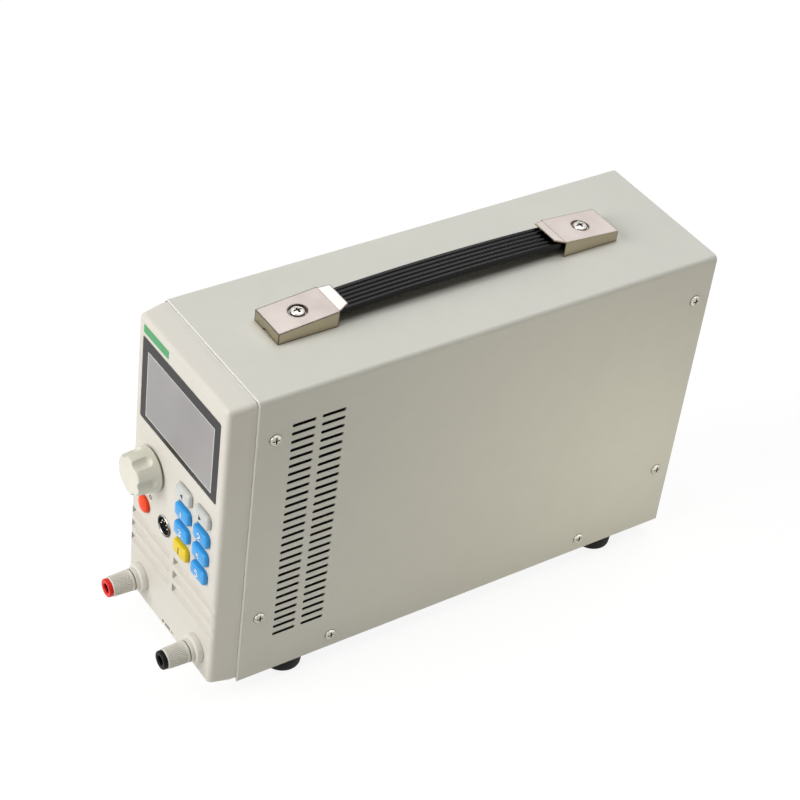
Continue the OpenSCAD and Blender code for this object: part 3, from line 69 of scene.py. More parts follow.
class Sock:  # a shader value that takes part in plain arithmetic
    def __init__(self, finish, link):
        self.finish = finish
        self.link = link

    def math(self, operation, *values):
        return self.finish.add("ShaderNodeMath", {"operation": operation}, dict(enumerate(values)))

    def __add__(self, other):
        return self.math("ADD", self, other)

    def __sub__(self, other):
        return self.math("SUBTRACT", self, other)

    def __rsub__(self, other):
        return self.math("SUBTRACT", other, self)

    def __mul__(self, other):
        return self.math("MULTIPLY", self, other)

    def __lt__(self, other):
        return self.math("LESS_THAN", self, other)

    def __abs__(self):
        return self.math("ABSOLUTE", self)

    __radd__ = __add__
    __rmul__ = __mul__


class Finish:  # one material or world and the nodes that it is made of
    def __init__(self, name, owners=bpy.data.materials):
        self.material = owners.new(name)
        self.material.use_nodes = True
        self.tree = self.material.node_tree
        self.tree.nodes.clear()

    def add(self, kind, settings=None, sockets=None, out=0):
        made = self.tree.nodes.new(kind)
        for key, value in (settings or {}).items():
            setattr(made, key, value)
        for key, value in (sockets or {}).items():
            if isinstance(value, Sock):
                self.tree.links.new(value.link, made.inputs[key])
            else:
                made.inputs[key].default_value = value
        return Sock(self, made.outputs[out]) if made.outputs else None

    def place(self):
        return self.add("ShaderNodeTexCoord", out="Object")

    def parts(self, vector):  # x, y and z of a vector
        split = self.add("ShaderNodeSeparateXYZ", None, {"Vector": vector})
        return [Sock(self, split.link.node.outputs[i]) for i in range(3)]

    def upward(self):  # 1 on faces that look up, 0 on upright ones
        return self.parts(self.add("ShaderNodeNewGeometry", out="Normal"))[2]

    def open(self, reach):  # 1 on open faces, near 0 in corners and gaps; sets where painted shade goes
        shade = self.add("ShaderNodeAmbientOcclusion", {"samples": 8}, {"Distance": reach}, "AO")
        return self.ramp(shade, 0.15, 0.85)

    def seenWhite(self):  # 1 for rays that show the background
        path = self.add("ShaderNodeLightPath").link.node.outputs
        looks = [Sock(self, path["Is %s Ray" % kind]) for kind in ("Camera", "Glossy", "Transmission")]
        return looks[0].math("MAXIMUM", looks[0].math("MAXIMUM", looks[0], looks[1]), looks[2])

    def noise(self, scale, detail=2, stretch=None):
        spot = self.place()
        if stretch:
            spot = self.add("ShaderNodeVectorMath", {"operation": "MULTIPLY"}, {0: spot, 1: stretch})
        return self.add("ShaderNodeTexNoise", None, {"Vector": spot, "Scale": scale, "Detail": detail})

    def ramp(self, value, low, high):  # 0 below low, 1 above high
        return self.add("ShaderNodeMapRange", {"clamp": True},
                        {"Value": value, "From Min": low, "From Max": high})

    def mix(self, factor, first, second):
        return self.add("ShaderNodeMix", {"data_type": "RGBA"}, {0: factor, 6: first, 7: second}, 2)

    def relief(self, height, depth, strength=1.0, edge=None):
        sockets = {"Height": height, "Distance": depth, "Strength": strength}
        if edge:
            sockets["Normal"] = self.add("ShaderNodeBevel", {"samples": 6}, {"Radius": edge})
        return self.add("ShaderNodeBump", None, sockets)

    def surface(self, **sockets):
        named = {key.replace("_", " "): value for key, value in sockets.items()}
        shader = self.add("ShaderNodeBsdfPrincipled", None, named)
        self.add("ShaderNodeOutputMaterial", None, {"Surface": shader})
        return self.material


def tone(red, green, blue):  # screen colour 0..255 to a shader colour
    def linear(v):
        v = v / 255
        return v / 12.92 if v <= 0.04045 else ((v + 0.055) / 1.055) ** 2.4
    return (linear(red), linear(green), linear(blue), 1)


def paintedShadeTone(colour, part=0.35):  # painted shade: the colour darkened, as in a corner that little light reaches
    return tuple(part * v for v in colour[:3]) + (1,)


# Finishes

def powderCoat(name, look):
    f = Finish(name)
    broad = f.noise(look["broad"], 3)
    peel = f.noise(look["peel"], 2)
    dust = f.noise(look["dust"], 4)
    colour = f.mix(f.ramp(broad * 0.7 + dust * 0.3, 0.35, 0.65), look["low"], look["high"])
    # painted shade: darker colour in corners and gaps
    colour = f.mix(f.open(look["reach"]), paintedShadeTone(look["low"]), colour)
    if "within" in look:  # painted shade: inner side and cut edges coloured near black, as in the dark of the case
        x, y, z = f.parts(f.place())
        facing = f.parts(f.add("ShaderNodeNewGeometry", out="Normal"))[1]
        inner = (abs(x) < look["within"][0]) * (y < look["within"][1]) * (z < look["within"][2])
        inner = inner * (abs(facing) < 0.5)
        colour = f.mix(inner, colour, look["inner"])
    return f.surface(
        Base_Color=colour,
        Roughness=look["rough"] + 0.12 * (dust - 0.5) + 0.06 * (peel - 0.5),
        Normal=f.relief(peel, look["depth"], 0.5, look["edge"]),
        Specular_IOR_Level=0.45,
    )


def moulded(name, look):  # injection-moulded plastic or rubber
    f = Finish(name)
    grain = f.noise(look.get("grain", 2600), 2)
    cloud = f.noise(look.get("cloud", 45), 3)
    colour = f.mix(f.ramp(cloud, 0.3, 0.7), look["low"], look["high"])
    # painted shade: darker colour in corners and gaps
    colour = f.mix(f.open(look.get("reach", 0.0015)), paintedShadeTone(look["low"], look.get("shade", 0.35)), colour)
    return f.surface(
        Base_Color=colour,
        Roughness=look["rough"] + 0.14 * (grain - 0.5) + 0.08 * (cloud - 0.5),
        Normal=f.relief(grain, look.get("depth", 0.00003), 0.4, look.get("edge", 0.0003)),
        Coat_Weight=look.get("coat", 0.0),
        Coat_Roughness=look.get("coatRough", 0.08),
        Specular_IOR_Level=look.get("shine", 0.5),
    )


def platedMetal(name, look):
    f = Finish(name)
    scratch = f.noise(look["scratch"], 3, look["stretch"])
    cloud = f.noise(look.get("cloud", 60), 3)
    colour = f.mix(f.ramp(cloud, 0.3, 0.7), look["low"], look["high"])
    if "side" in look:  # painted reflection: upright faces take a darker tone, as if mirroring a darker room
        colour = f.mix(f.ramp(f.upward(), 0.2, 0.8), look["side"], colour)
    if "line" in look:  # painted shade: thin dark line along each edge, as the dark reflection at a bend
        bent = f.add("ShaderNodeBevel", {"samples": 6}, {"Radius": look["lineWidth"]})
        true = f.add("ShaderNodeNewGeometry", out="Normal")
        along = f.add("ShaderNodeVectorMath", {"operation": "DOT_PRODUCT"}, {0: bent, 1: true}, "Value")
        colour = f.mix(f.ramp(along, 0.88, 0.985), look["line"], colour)
    # painted shade: darker colour in corners and gaps
    colour = f.mix(f.open(look.get("reach", 0.0012)), paintedShadeTone(look["low"], 0.2), colour)
    if "deep" in look:  # painted shade: the front end, which stays inside another piece, takes a dark tone
        colour = f.mix(f.parts(f.place())[1] < look["deep"], colour, look["inside"])
    return f.surface(
        Base_Color=colour,
        Metallic=1.0,
        Roughness=look["rough"] + look.get("roughSpread", 0.12) * (scratch - 0.5) + 0.06 * (cloud - 0.5),
        Normal=f.relief(scratch, look.get("depth", 0.00001), 0.35, look.get("edge", 0.0003)),
    )


def circuitBoard(name, look):
    f = Finish(name)
    cells = f.add("ShaderNodeTexVoronoi", {"feature": "DISTANCE_TO_EDGE", "distance": "CHEBYCHEV"},
                  {"Vector": f.place(), "Scale": look["cells"]})
    track = f.ramp(cells, 0.05, 0.08)
    pad = f.add("ShaderNodeTexVoronoi", None, {"Vector": f.place(), "Scale": look["pads"]})
    colour = f.mix(track, look["track"], look["mask"])
    colour = f.mix(pad < 0.16, colour, look["solder"])
    return f.surface(
        Base_Color=colour,
        Roughness=0.3 + 0.2 * track,
        Metallic=0.8 * (pad < 0.16),
        Normal=f.relief(track, 0.00004, 0.6),
    )


def layered(name, look):  # sheet laminations or turns of wire, seen as fine bands
    f = Finish(name)
    turn = f.parts(f.place())["xyz".index(look["along"])] * (tau / look["pitch"])
    band = turn.math("SINE", turn)
    cloud = f.noise(70, 3)
    colour = f.mix(f.ramp(band + cloud, 0.0, 1.3), look["low"], look["high"])
    return f.surface(
        Base_Color=colour,
        Metallic=look["metal"],
        Roughness=look["rough"] + 0.15 * (cloud - 0.5),
        Normal=f.relief(band, look["depth"], 0.8),
    )


shellLook = {"low": tone(212, 211, 203), "high": tone(218, 217, 209), "broad": 6, "dust": 90,
             "peel": 1500, "rough": 0.44, "depth": 0.00006, "edge": 0.0005, "reach": 0.003}
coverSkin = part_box("case_cover")[1]
# painted shade: near-black tone for the cover's inner side and slot edges
coverLook = {**shellLook, "inner": tone(15, 14, 12),
             "within": (coverSkin.x - 0.05 * mm, coverSkin.y - 20 * mm, coverSkin.z - 3 * mm)}
panelLook = {"low": tone(215, 211, 203), "high": tone(220, 217, 209), "rough": 0.5, "cloud": 14,
             "grain": 2400, "depth": 0.00004, "edge": 0.0016, "reach": 0.0008, "shade": 0.95}
zincLook = {"low": tone(176, 178, 180), "high": tone(200, 201, 200), "rough": 0.36,
            "scratch": 500, "stretch": (1, 1, 0.2), "cloud": 120}
# painted reflection: the side tone darkens upright faces
nickelLook = {"low": tone(210, 206, 199), "high": tone(226, 223, 217), "side": tone(178, 174, 163),
              "rough": 0.18, "scratch": 900, "stretch": (1, 0.12, 1), "depth": 0.000006, "edge": 0.0003}
# painted reflection on the caps' upright faces, and a painted dark line along each edge
capLook = {**nickelLook, "low": tone(212, 201, 194), "high": tone(226, 216, 209),
           "side": tone(178, 168, 146), "rough": 0.16, "line": tone(38, 32, 24), "lineWidth": 0.0013}
# painted reflection: the rim's faces that look up are bright, its upright faces nearly black
rimLook = {**nickelLook, "low": tone(226, 226, 224), "high": tone(240, 240, 238), "side": tone(64, 63, 60),
           "rough": 0.1}
# long reach: painted shade on brass pieces deep in sockets
brassLook = {"low": tone(196, 158, 88), "high": tone(220, 186, 112), "rough": 0.27,
             "scratch": 1200, "stretch": (1, 0.1, 1), "reach": 0.006}
studLook = {**brassLook, "deep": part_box("black_post_stud")[0].y + 6 * mm, "inside": tone(18, 15, 12)}
redStudLook = {**studLook, "inside": tone(96, 26, 14)}  # painted shade: dark red, as the shade inside the red tip
alloyLook = {"low": tone(172, 174, 176), "high": tone(198, 199, 200), "rough": 0.4,
             "scratch": 1400, "stretch": (1, 0.03, 1), "depth": 0.00003}
rubberLook = {"low": tone(9, 9, 9), "high": tone(17, 17, 16), "rough": 0.7, "grain": 900,
              "depth": 0.00006, "shine": 0.25}
strapLook = {"low": tone(2, 2, 2), "high": tone(5, 5, 6), "rough": 0.25, "grain": 1500,
             "depth": 0.000006, "edge": 0.0001, "shine": 0.2}
knobLook = {"low": tone(222, 220, 207), "high": tone(229, 227, 215), "rough": 0.36, "cloud": 40,
            "depth": 0.00002, "shade": 0.75}
postLook = {"low": tone(224, 221, 212), "high": tone(231, 229, 221), "rough": 0.42, "cloud": 50,
            "depth": 0.00003, "shade": 0.55}
blackLook = {"low": tone(7, 7, 8), "high": tone(13, 13, 14), "rough": 0.46, "grain": 1800, "shine": 0.14}
socketLook = {**blackLook, "low": tone(3, 3, 3), "high": tone(6, 6, 6), "rough": 0.6, "shine": 0.04}
matLook = {"low": tone(66, 66, 68), "high": tone(78, 78, 80), "rough": 0.7}
whiteLook = {"low": tone(228, 228, 222), "high": tone(236, 236, 231), "rough": 0.4}
displayLook = {"low": tone(160, 160, 161), "high": tone(168, 168, 169), "rough": 0.35}
sleeveLook = {"low": tone(28, 30, 48), "high": tone(40, 42, 62), "rough": 0.28}
redSheathLook = {"low": tone(176, 30, 22), "high": tone(198, 40, 30), "rough": 0.5}
blackSheathLook = {"low": tone(22, 22, 22), "high": tone(34, 34, 34), "rough": 0.5}
redLook = {"low": tone(238, 70, 30), "high": tone(245, 80, 38), "rough": 0.34, "coat": 0.08, "shine": 0.12}
redTipLook = {"low": tone(224, 24, 17), "high": tone(234, 32, 23), "rough": 0.4, "coat": 0.15, "shine": 0.2}
blueLook = {"low": tone(30, 154, 231), "high": tone(42, 165, 240), "rough": 0.34, "coat": 0.5, "shine": 0.2,
            "coatRough": 0.1}
greyKeyLook = {"low": tone(194, 198, 198), "high": tone(204, 207, 206), "rough": 0.3, "coat": 0.6}
yellowLook = {"low": tone(224, 194, 0), "high": tone(234, 206, 3), "rough": 0.34, "coat": 0.4, "shine": 0.2,
              "coatRough": 0.1}
greenLook = {"low": tone(24, 150, 76), "high": tone(36, 164, 90), "rough": 0.35, "coat": 0.2}
boardLook = {"mask": tone(22, 96, 62), "track": tone(40, 124, 80), "solder": tone(196, 198, 196),
             "cells": 160, "pads": 240}
coreLook = {"along": "y", "pitch": 0.0005, "low": tone(84, 82, 80), "high": tone(126, 123, 118),
            "metal": 0.8, "rough": 0.5, "depth": 0.00006}
wireLook = {"along": "z", "pitch": 0.0008, "low": tone(120, 62, 30), "high": tone(196, 112, 58),
            "metal": 0.9, "rough": 0.34, "depth": 0.0002}
inkWhiteLook = {"low": tone(244, 247, 250), "high": tone(252, 253, 254), "rough": 0.5, "reach": 0.0001}
inkDarkLook = {"low": tone(24, 25, 26), "high": tone(36, 37, 38), "rough": 0.6, "shine": 0.2}
contactLook = {"low": tone(196, 190, 176), "high": tone(220, 214, 200), "rough": 0.22,
               "scratch": 900, "stretch": (1, 1, 1)}
# painted shade: dark tone for the deep faces of each cross recess
recessShadeLook = {"low": tone(44, 41, 37), "high": tone(62, 58, 52), "rough": 0.4, "scratch": 900,
              "stretch": (1, 1, 1)}
# painted highlight: near-white tone for the cover's front edge
lipHighlightLook = {"low": tone(246, 245, 240), "high": tone(250, 249, 245), "rough": 0.3, "reach": 0.0001}

finishes = {
    "shell_paint": powderCoat("shellPaint", shellLook),
    "panel_plastic": moulded("panelPlastic", panelLook),
    "zinc_steel": platedMetal("zincSteel", zincLook),
    "nickel_plate": platedMetal("nickelPlate", nickelLook),
    "brass": platedMetal("turnedBrass", brassLook),
    "alloy": platedMetal("extrudedAlloy", alloyLook),
    "black_rubber": moulded("blackRubber", rubberLook),
    "strap_pvc": moulded("strapVinyl", strapLook),
    "knob_plastic": moulded("knobPlastic", knobLook),
    "post_plastic": moulded("postPlastic", postLook),
    "black_plastic": moulded("blackPlastic", blackLook),
    "mat_silicone": moulded("matSilicone", matLook),
    "white_plastic": moulded("whitePlastic", whiteLook),
    "display_grey": moulded("displayGrey", displayLook),
    "sleeve_plastic": moulded("sleevePlastic", sleeveLook),
    "red_sheath": moulded("redSheath", redSheathLook),
    "black_sheath": moulded("blackSheath", blackSheathLook),
    "red_plastic": moulded("redPlastic", redTipLook),
    "key_red": moulded("redButton", redLook),
    "key_blue": moulded("blueKey", blueLook),
    "key_grey": moulded("greyKey", greyKeyLook),
    "key_yellow": moulded("yellowKey", yellowLook),
    "circuit_board": circuitBoard("circuitBoard", boardLook),
    "core_steel": layered("coreSteel", coreLook),
    "copper_wire": layered("copperWire", wireLook),
}
greenPlate = moulded("greenPlate", greenLook)
inkWhite = moulded("inkWhite", inkWhiteLook)
inkDark = moulded("inkDark", inkDarkLook)
contactMetal = platedMetal("contactMetal", contactLook)
capNickel = platedMetal("capNickel", capLook)
# the rear cap's painted edge line is fainter
plainCapNickel = platedMetal("plainCapNickel", {**capLook, "line": tone(150, 140, 124)})
rimNickel = platedMetal("rimNickel", rimLook)
coverPaintInnerShade = powderCoat("coverPaintInnerShade", coverLook)
recessShadeMetal = platedMetal("recessShadeMetal", recessShadeLook)
lipHighlight = moulded("lipHighlight", lipHighlightLook)
studBrass = platedMetal("studBrass", studLook)
socketBlack = moulded("socketBlack", socketLook)
redStudBrass = platedMetal("redStudBrass", redStudLook)

windowLook = {"viewW": 58.0 * mm, "viewH": 35.3 * mm, "drop": 1.4 * mm, "line": 0.4 * mm,
              "border": tone(29, 27, 26), "glassLow": tone(146, 144, 146), "glassHigh": tone(158, 156, 157),
              "glint": tone(224, 223, 220)}


def displayWindow(name, look):  # dark printed border round an unlit grey display
    f = Finish(name)
    low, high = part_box("display_window")
    middle = (low + high) / 2
    x, y, z = f.parts(f.place())
    across = abs(x - middle.x)
    up = abs(z - (middle.z - look["drop"]))
    inView = (across < look["viewW"] / 2) * (up < look["viewH"] / 2)
    inLine = (across < look["viewW"] / 2 + look["line"]) * (up < look["viewH"] / 2 + look["line"])
    haze = f.noise(25, 3)
    glass = f.mix(f.ramp(haze, 0.3, 0.7), look["glassLow"], look["glassHigh"])
    # painted highlight: a thin bright glint line between the dark border and the glass
    colour = f.mix(inLine, look["border"], look["glint"])
    colour = f.mix(inView, colour, glass)
    return f.surface(
        Base_Color=colour,
        Roughness=0.22 + 0.12 * inView + 0.05 * haze,
        Normal=f.relief(f.noise(3000, 1), 0.00001, 0.2, 0.0002),
        Coat_Weight=0.05 + 0.12 * inView,
        Coat_Roughness=0.06,
        Specular_IOR_Level=0.2,
    )


finishes["window_glass"] = displayWindow("displayWindow", windowLook)
print("finishes made:", len(bpy.data.materials))


# Mesh helpers

facings = {  # x, y and z of a piece's own frame; z points out of the named side
    "front": ((1, 0, 0), (0, 0, 1), (0, -1, 0)),
    "rear": ((-1, 0, 0), (0, 0, 1), (0, 1, 0)),
    "right": ((0, 1, 0), (0, 0, 1), (1, 0, 0)),
    "left": ((0, -1, 0), (0, 0, 1), (-1, 0, 0)),
    "top": ((1, 0, 0), (0, 1, 0), (0, 0, 1)),
    "bottom": ((1, 0, 0), (0, -1, 0), (0, 0, -1)),
}


def standing(side, spot):
    turn = Matrix(facings[side]).transposed().to_4x4()
    return Matrix.Translation(spot) @ turn


class Shape:  # collects points and faces, then becomes one piece
    def __init__(self):
        self.points = []
        self.faces = []
        self.second = set()  # faces that take the piece's second material

    def loft(self, rings, place=Matrix.Identity(4), closed=(True, True), loop=False):
        start = len(self.points)
        count = len(rings[0])
        self.points += [place @ Vector(p) for ring in rings for p in ring]
        spans = len(rings) if loop else len(rings) - 1
        for i in range(spans):
            for k in range(count):
                near = start + i * count
                far = start + (i + 1) % len(rings) * count
                n = (k + 1) % count
                self.faces.append((near + k, near + n, far + n, far + k))
        if closed[0] and not loop:
            self.faces.append(tuple(start + k for k in reversed(range(count))))
        if closed[1] and not loop:
            self.faces.append(tuple(start + (len(rings) - 1) * count + k for k in range(count)))
        return self

    def lathe(self, profile, place, steps=64, loop=False):  # profile is (radius, height) pairs
        rings = [[(r * math.cos(tau * k / steps), r * math.sin(tau * k / steps), h) for k in range(steps)]
                 for r, h in profile]
        ends = (profile[0][0] > 0, profile[-1][0] > 0)
        return self.loft(rings, place, ends, loop)

    def piece(self, name, body, material, replaced=(), slot=None, sharp=40, other=None):
        mesh = bpy.data.meshes.new(name)
        mesh.from_pydata(self.points, [], self.faces)
        for index in self.second:
            mesh.polygons[index].material_index = 1
        made = bmesh.new()
        made.from_mesh(mesh)
        bmesh.ops.remove_doubles(made, verts=made.verts, dist=1e-7)
        bmesh.ops.dissolve_degenerate(made, edges=made.edges, dist=1e-8)
        bmesh.ops.recalc_face_normals(made, faces=made.faces)
        made.to_mesh(mesh)
        made.free()
        mesh.shade_smooth()
        mesh.set_sharp_from_angle(angle=math.radians(sharp))
        for used in [material] + ([other] if other else []):
            mesh.materials.append(used)
        thing = bpy.data.objects.new(name, mesh)
        bpy.context.scene.collection.objects.link(thing)
        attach(thing, body)
        if replaced:
            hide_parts(*replaced)
        return thing


def roundRect(w, h, r, height, steps=10):  # points of a rounded rectangle at one height
    points = []
    for corner, (sx, sy) in enumerate(((1, 1), (-1, 1), (-1, -1), (1, -1))):
        for k in range(steps + 1):
            a = tau / 4 * (corner + k / steps)
            points.append((sx * (w / 2 - r) + r * math.cos(a), sy * (h / 2 - r) + r * math.sin(a), height))
    return points


def fillet(start, corner, end, steps=5):  # rounds one corner of a profile with a smooth curve
    points = []
    for k in range(steps + 1):
        t = k / steps
        points.append(tuple((1 - t) ** 2 * a + 2 * t * (1 - t) * b + t * t * c
                            for a, b, c in zip(start, corner, end)))
    return points


def islands(node):  # box of each separate solid in a CAD node
    mesh = nodes[node].data
    keys = [tuple(round(c, 6) for c in v.co) for v in mesh.vertices]
    parent = {key: key for key in keys}

    def root(key):
        while parent[key] != key:
            parent[key] = parent[parent[key]]
            key = parent[key]
        return key

    for polygon in mesh.polygons:
        first = root(keys[polygon.vertices[0]])
        for v in polygon.vertices[1:]:
            parent[root(keys[v])] = first
    groups = {}
    for key in parent:
        groups.setdefault(root(key), []).append(Vector(key))
    boxes = []
    for points in groups.values():
        low = Vector(min(p[i] for p in points) for i in range(3))
        high = Vector(max(p[i] for p in points) for i in range(3))
        boxes.append((low, high))
    return sorted(boxes, key=lambda box: tuple(box[0]))


# Camera, light and floor

cameraLook = {"azimuth": 51.81, "elevation": 38.61, "roll": 7.74, "lens": 100.72,
              "spot": (0.644128, -0.512159, 0.763337)}
azimuth = math.radians(cameraLook["azimuth"])
elevation = math.radians(cameraLook["elevation"])
backwards = Vector((math.sin(azimuth) * math.cos(elevation), -math.cos(azimuth) * math.cos(elevation),
                    math.sin(elevation)))
cameraData = bpy.data.cameras.new("camera")
cameraData.lens = cameraLook["lens"]
cameraData.sensor_width = 36
camera = bpy.data.objects.new("camera", cameraData)
bpy.context.scene.collection.objects.link(camera)
upright = backwards.to_track_quat("Z", "Y").to_matrix().to_4x4()
rolled = upright @ Matrix.Rotation(math.radians(cameraLook["roll"]), 4, "Z")
camera.matrix_world = Matrix.Translation(cameraLook["spot"]) @ rolled
bpy.context.scene.camera = camera

lampLook = {
    "key": {"spot": (-0.3, -1.8, 1.0), "size": 1.3, "power": 31, "colour": (1, 0.98, 0.95)},
    "over": {"spot": (-0.1, 0.3, 1.85), "size": 1.5, "power": 16.4, "colour": (0.945, 0.968, 1)},
    "rim": {"spot": (-1.11, 0.18, 1.58), "size": 0.38, "power": 0.36, "colour": (0.9, 0.97, 1)},
    "glint": {"spot": (-0.3, 0.75, 1.3), "size": 0.15, "power": 1.3, "colour": (1, 1, 1)},
    "fill": {"spot": (0.55, 0.5, 0.04), "size": 0.5, "power": 0.3, "colour": (1, 0.82, 0.3)},
    "low": {"spot": (0.15, 0.09, 0.02), "size": 0.2, "power": 0.08, "colour": (1, 0.93, 0.7)},
}
aim = (cadBox[0] + cadBox[1]) / 2


def addLamp(name, look):  # square lamp that looks at the middle of the part
    lampData = bpy.data.lights.new(name, "AREA")
    lampData.energy = look["power"]
    lampData.size = look["size"]
    lampData.color = look["colour"]
    lamp = bpy.data.objects.new(name, lampData)
    bpy.context.scene.collection.objects.link(lamp)
    lamp.location = look["spot"]
    lamp.rotation_euler = (Vector(look["spot"]) - aim).to_track_quat("Z", "Y").to_euler()


for lampName in lampLook:
    addLamp(lampName, lampLook[lampName])

worldLook = {"ambient": 0.112, "tint": (1, 0.965, 0.78, 1), "seen": 1.0}
sky = Finish("studio", bpy.data.worlds)
skySeen = sky.seenWhite()
skyLevel = worldLook["ambient"] + (worldLook["seen"] - worldLook["ambient"]) * skySeen
skyColour = sky.mix(skySeen, worldLook["tint"], (1, 1, 1, 1))
skyLight = sky.add("ShaderNodeBackground", None, {"Color": skyColour, "Strength": skyLevel})
sky.add("ShaderNodeOutputWorld", None, {"Surface": skyLight})
bpy.context.scene.world = sky.material

floorLook = {"half": 6.0, "keep": 0.2, "colour": (0.92, 0.92, 0.92, 1), "white": 1.09}


def floorFinish(name, look):
    f = Finish(name)
    plain = f.add("ShaderNodeBsdfDiffuse", None, {"Color": look["colour"]})
    white = f.add("ShaderNodeEmission", None, {"Color": (1, 1, 1, 1), "Strength": look["white"]})
    both = f.add("ShaderNodeMixShader", None, {0: f.seenWhite() * (1 - look["keep"]), 1: plain, 2: white})
    f.add("ShaderNodeOutputMaterial", None, {"Surface": both})
    return f.material


half = floorLook["half"]
floorMesh = bpy.data.meshes.new("floor")
floorMesh.from_pydata([(-half, -half, 0), (half, -half, 0), (half, half, 0), (-half, half, 0)], [],
                      [(0, 1, 2, 3)])
floorMesh.materials.append(floorFinish("floorWhite", floorLook))
floor = bpy.data.objects.new("floor", floorMesh)
bpy.context.scene.collection.objects.link(floor)
bpy.context.scene.view_settings.view_transform = "Standard"
print("camera, lamps and floor set")


# Solids of the CAD model take their finishes from the record's slots

for row in frame["record"]["subparts"]:
    mesh = nodes[row["node"]].data
    mesh.materials.clear()
    mesh.materials.append(finishes[row["material_slot"]])
# the caps take painted reflection and painted edge shade
nodes["strap_cap_front"].data.materials[0] = capNickel
nodes["strap_cap_rear"].data.materials[0] = plainCapNickel
nodes["case_cover"].data.materials[0] = coverPaintInnerShade
# the studs take painted shade at their front ends
nodes["red_post_stud"].data.materials[0] = redStudBrass
nodes["black_post_stud"].data.materials[0] = studBrass
nodes["sense_insert"].data.materials[0] = socketBlack


# Screws with cross recesses

screwLook = {"headH": 1.3 * mm, "arm": 0.17, "armSlope": 0.12, "reach": 0.68, "reachSlope": 0.25,
             "sink": 0.62, "dark": 1.2, "brim": 0.35, "steps": 48, "rings": 18, "shank": 0.5, "point": 0.3,
             "pointL": 0.2}


def screwHead(shape, place, r, h, look):
    def depth(x, y):  # cross recess, tapering to its ends
        near, far = sorted((abs(x), abs(y)))
        inside = min(1, max(0, (look["arm"] * r - near) / (look["armSlope"] * r)))
        ends = min(1, max(0, (look["reach"] * r - far) / (look["reachSlope"] * r)))
        return look["sink"] * h * inside * ends

    rings = [[(r * math.cos(tau * k / look["steps"]), r * math.sin(tau * k / look["steps"]), 0)
              for k in range(look["steps"])]]
    for i in range(look["rings"] + 1):
        part = 1 - i / look["rings"]
        ring = []
        for k in range(look["steps"]):
            x = r * part * math.cos(tau * k / look["steps"])
            y = r * part * math.sin(tau * k / look["steps"])
            dome = h * (look["brim"] + (1 - look["brim"]) * (1 - part ** 3.2) ** 0.6)
            ring.append((x, y, dome - depth(x, y)))
        rings.append(ring)
    first = len(shape.faces)
    shape.loft(rings, place, (True, False))
    for i in range(1, len(rings) - 1):
        for k in range(look["steps"]):
            inner = [depth(*ring[n % look["steps"]][:2]) for ring in rings[i:i + 2] for n in (k, k + 1)]
            # faces deep in the cross recess take the second material, a painted shade
            if sum(inner) > look["dark"] * look["sink"] * h:
                shape.second.add(first + i * look["steps"] + k)


def screws(node, sideOf, name, look):
    shape = Shape()
    headH = look["headH"]
    for low, high in islands(node):
        middle = (low + high) / 2
        side = sideOf(middle)
        out = Vector(facings[side][2])
        size = high - low
        length = abs(size.dot(out))
        radius = min(size[i] for i in range(3) if abs(out[i]) < 0.5) / 2
        seat = middle + out * (length / 2 - headH)
        screwHead(shape, standing(side, seat), radius, headH, look)
        shankR = look["shank"] * radius
        shape.lathe([(shankR, 0), (shankR, headH * (1 + look["pointL"]) - length),
                     (look["point"] * radius, headH - length)], standing(side, seat), 24)
    shape.piece(name, "root", nodes[node].data.materials[0], [node], sharp=35, other=recessShadeMetal)


screws("cover_screws", lambda spot: "right" if spot.x > 0 else "left", "coverScrews", screwLook)
screws("panel_screws", lambda spot: "rear", "panelScrews", screwLook)
screws("fan_screws", lambda spot: "rear", "fanScrews", screwLook)
screws("foot_screws", lambda spot: "bottom", "footScrews", screwLook)

strapScrewLook = {"headR": 3.4 * mm, "headH": 1.9 * mm, "shankR": 2.0 * mm, "nutR": 4.04 * mm,
                  "nutH": 3.2 * mm, "sheet": 1.0 * mm}
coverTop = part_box("case_cover")[1].z


def strapScrews(look):  # each with its nut under the cover
    shape = Shape()
    shankR, nutR, nutH = look["shankR"], look["nutR"], look["nutH"]
    for low, high in islands("strap_screws"):
        if high.z < coverTop:  # a nut, made with its screw
            continue
        seat = Vector(((low.x + high.x) / 2, (low.y + high.y) / 2, high.z - look["headH"]))
        screwHead(shape, standing("top", seat), look["headR"], look["headH"], screwLook)
        shape.lathe([(shankR, 0), (shankR, low.z - seat.z)], standing("top", seat), 24)
        nutTop = Vector((seat.x, seat.y, coverTop - look["sheet"]))
        shape.lathe([(shankR, 0), (nutR, 0), (nutR, -nutH), (shankR, -nutH)], standing("top", nutTop), 6,
                    loop=True)
    shape.piece("strapScrews", "root", finishes["nickel_plate"], ["strap_screws"], sharp=35,
                other=recessShadeMetal)


strapScrews(strapScrewLook)
print("screws made")


# Feet

footLook = {"edge": 1.3 * mm, "draft": 0.8 * mm, "recessR": 3.9 * mm, "recess": 4.25 * mm, "boreR": 1.7 * mm,
            "recessEdge": 0.4 * mm, "brim": 0.4 * mm, "brimIn": (0.15 * mm, 0.3 * mm)}


def rubberFeet(look):
    shape = Shape()
    recessR, recessEdge, boreR = look["recessR"], look["recessEdge"], look["boreR"]
    for low, high in islands("rubber_feet"):
        r = (high.x - low.x) / 2
        tall = high.z - low.z
        spot = Vector(((low.x + high.x) / 2, (low.y + high.y) / 2, low.z))
        standR = r - look["draft"]
        foot = fillet((standR - look["edge"], 0), (standR, 0), (standR, look["edge"]))
        foot += [(r - look["brimIn"][0], tall - look["brim"]), (r - look["brimIn"][1], tall), (boreR, tall)]
        foot += [(boreR, look["recess"]), (recessR, look["recess"])]
        foot += fillet((recessR, recessEdge), (recessR, 0), (recessR + recessEdge, 0), 3)
        shape.lathe(foot, standing("top", spot), 72, loop=True)
    shape.piece("rubberFeet", "root", finishes["black_rubber"], ["rubber_feet"])


rubberFeet(footLook)
print("feet made")


# Keys and their marks

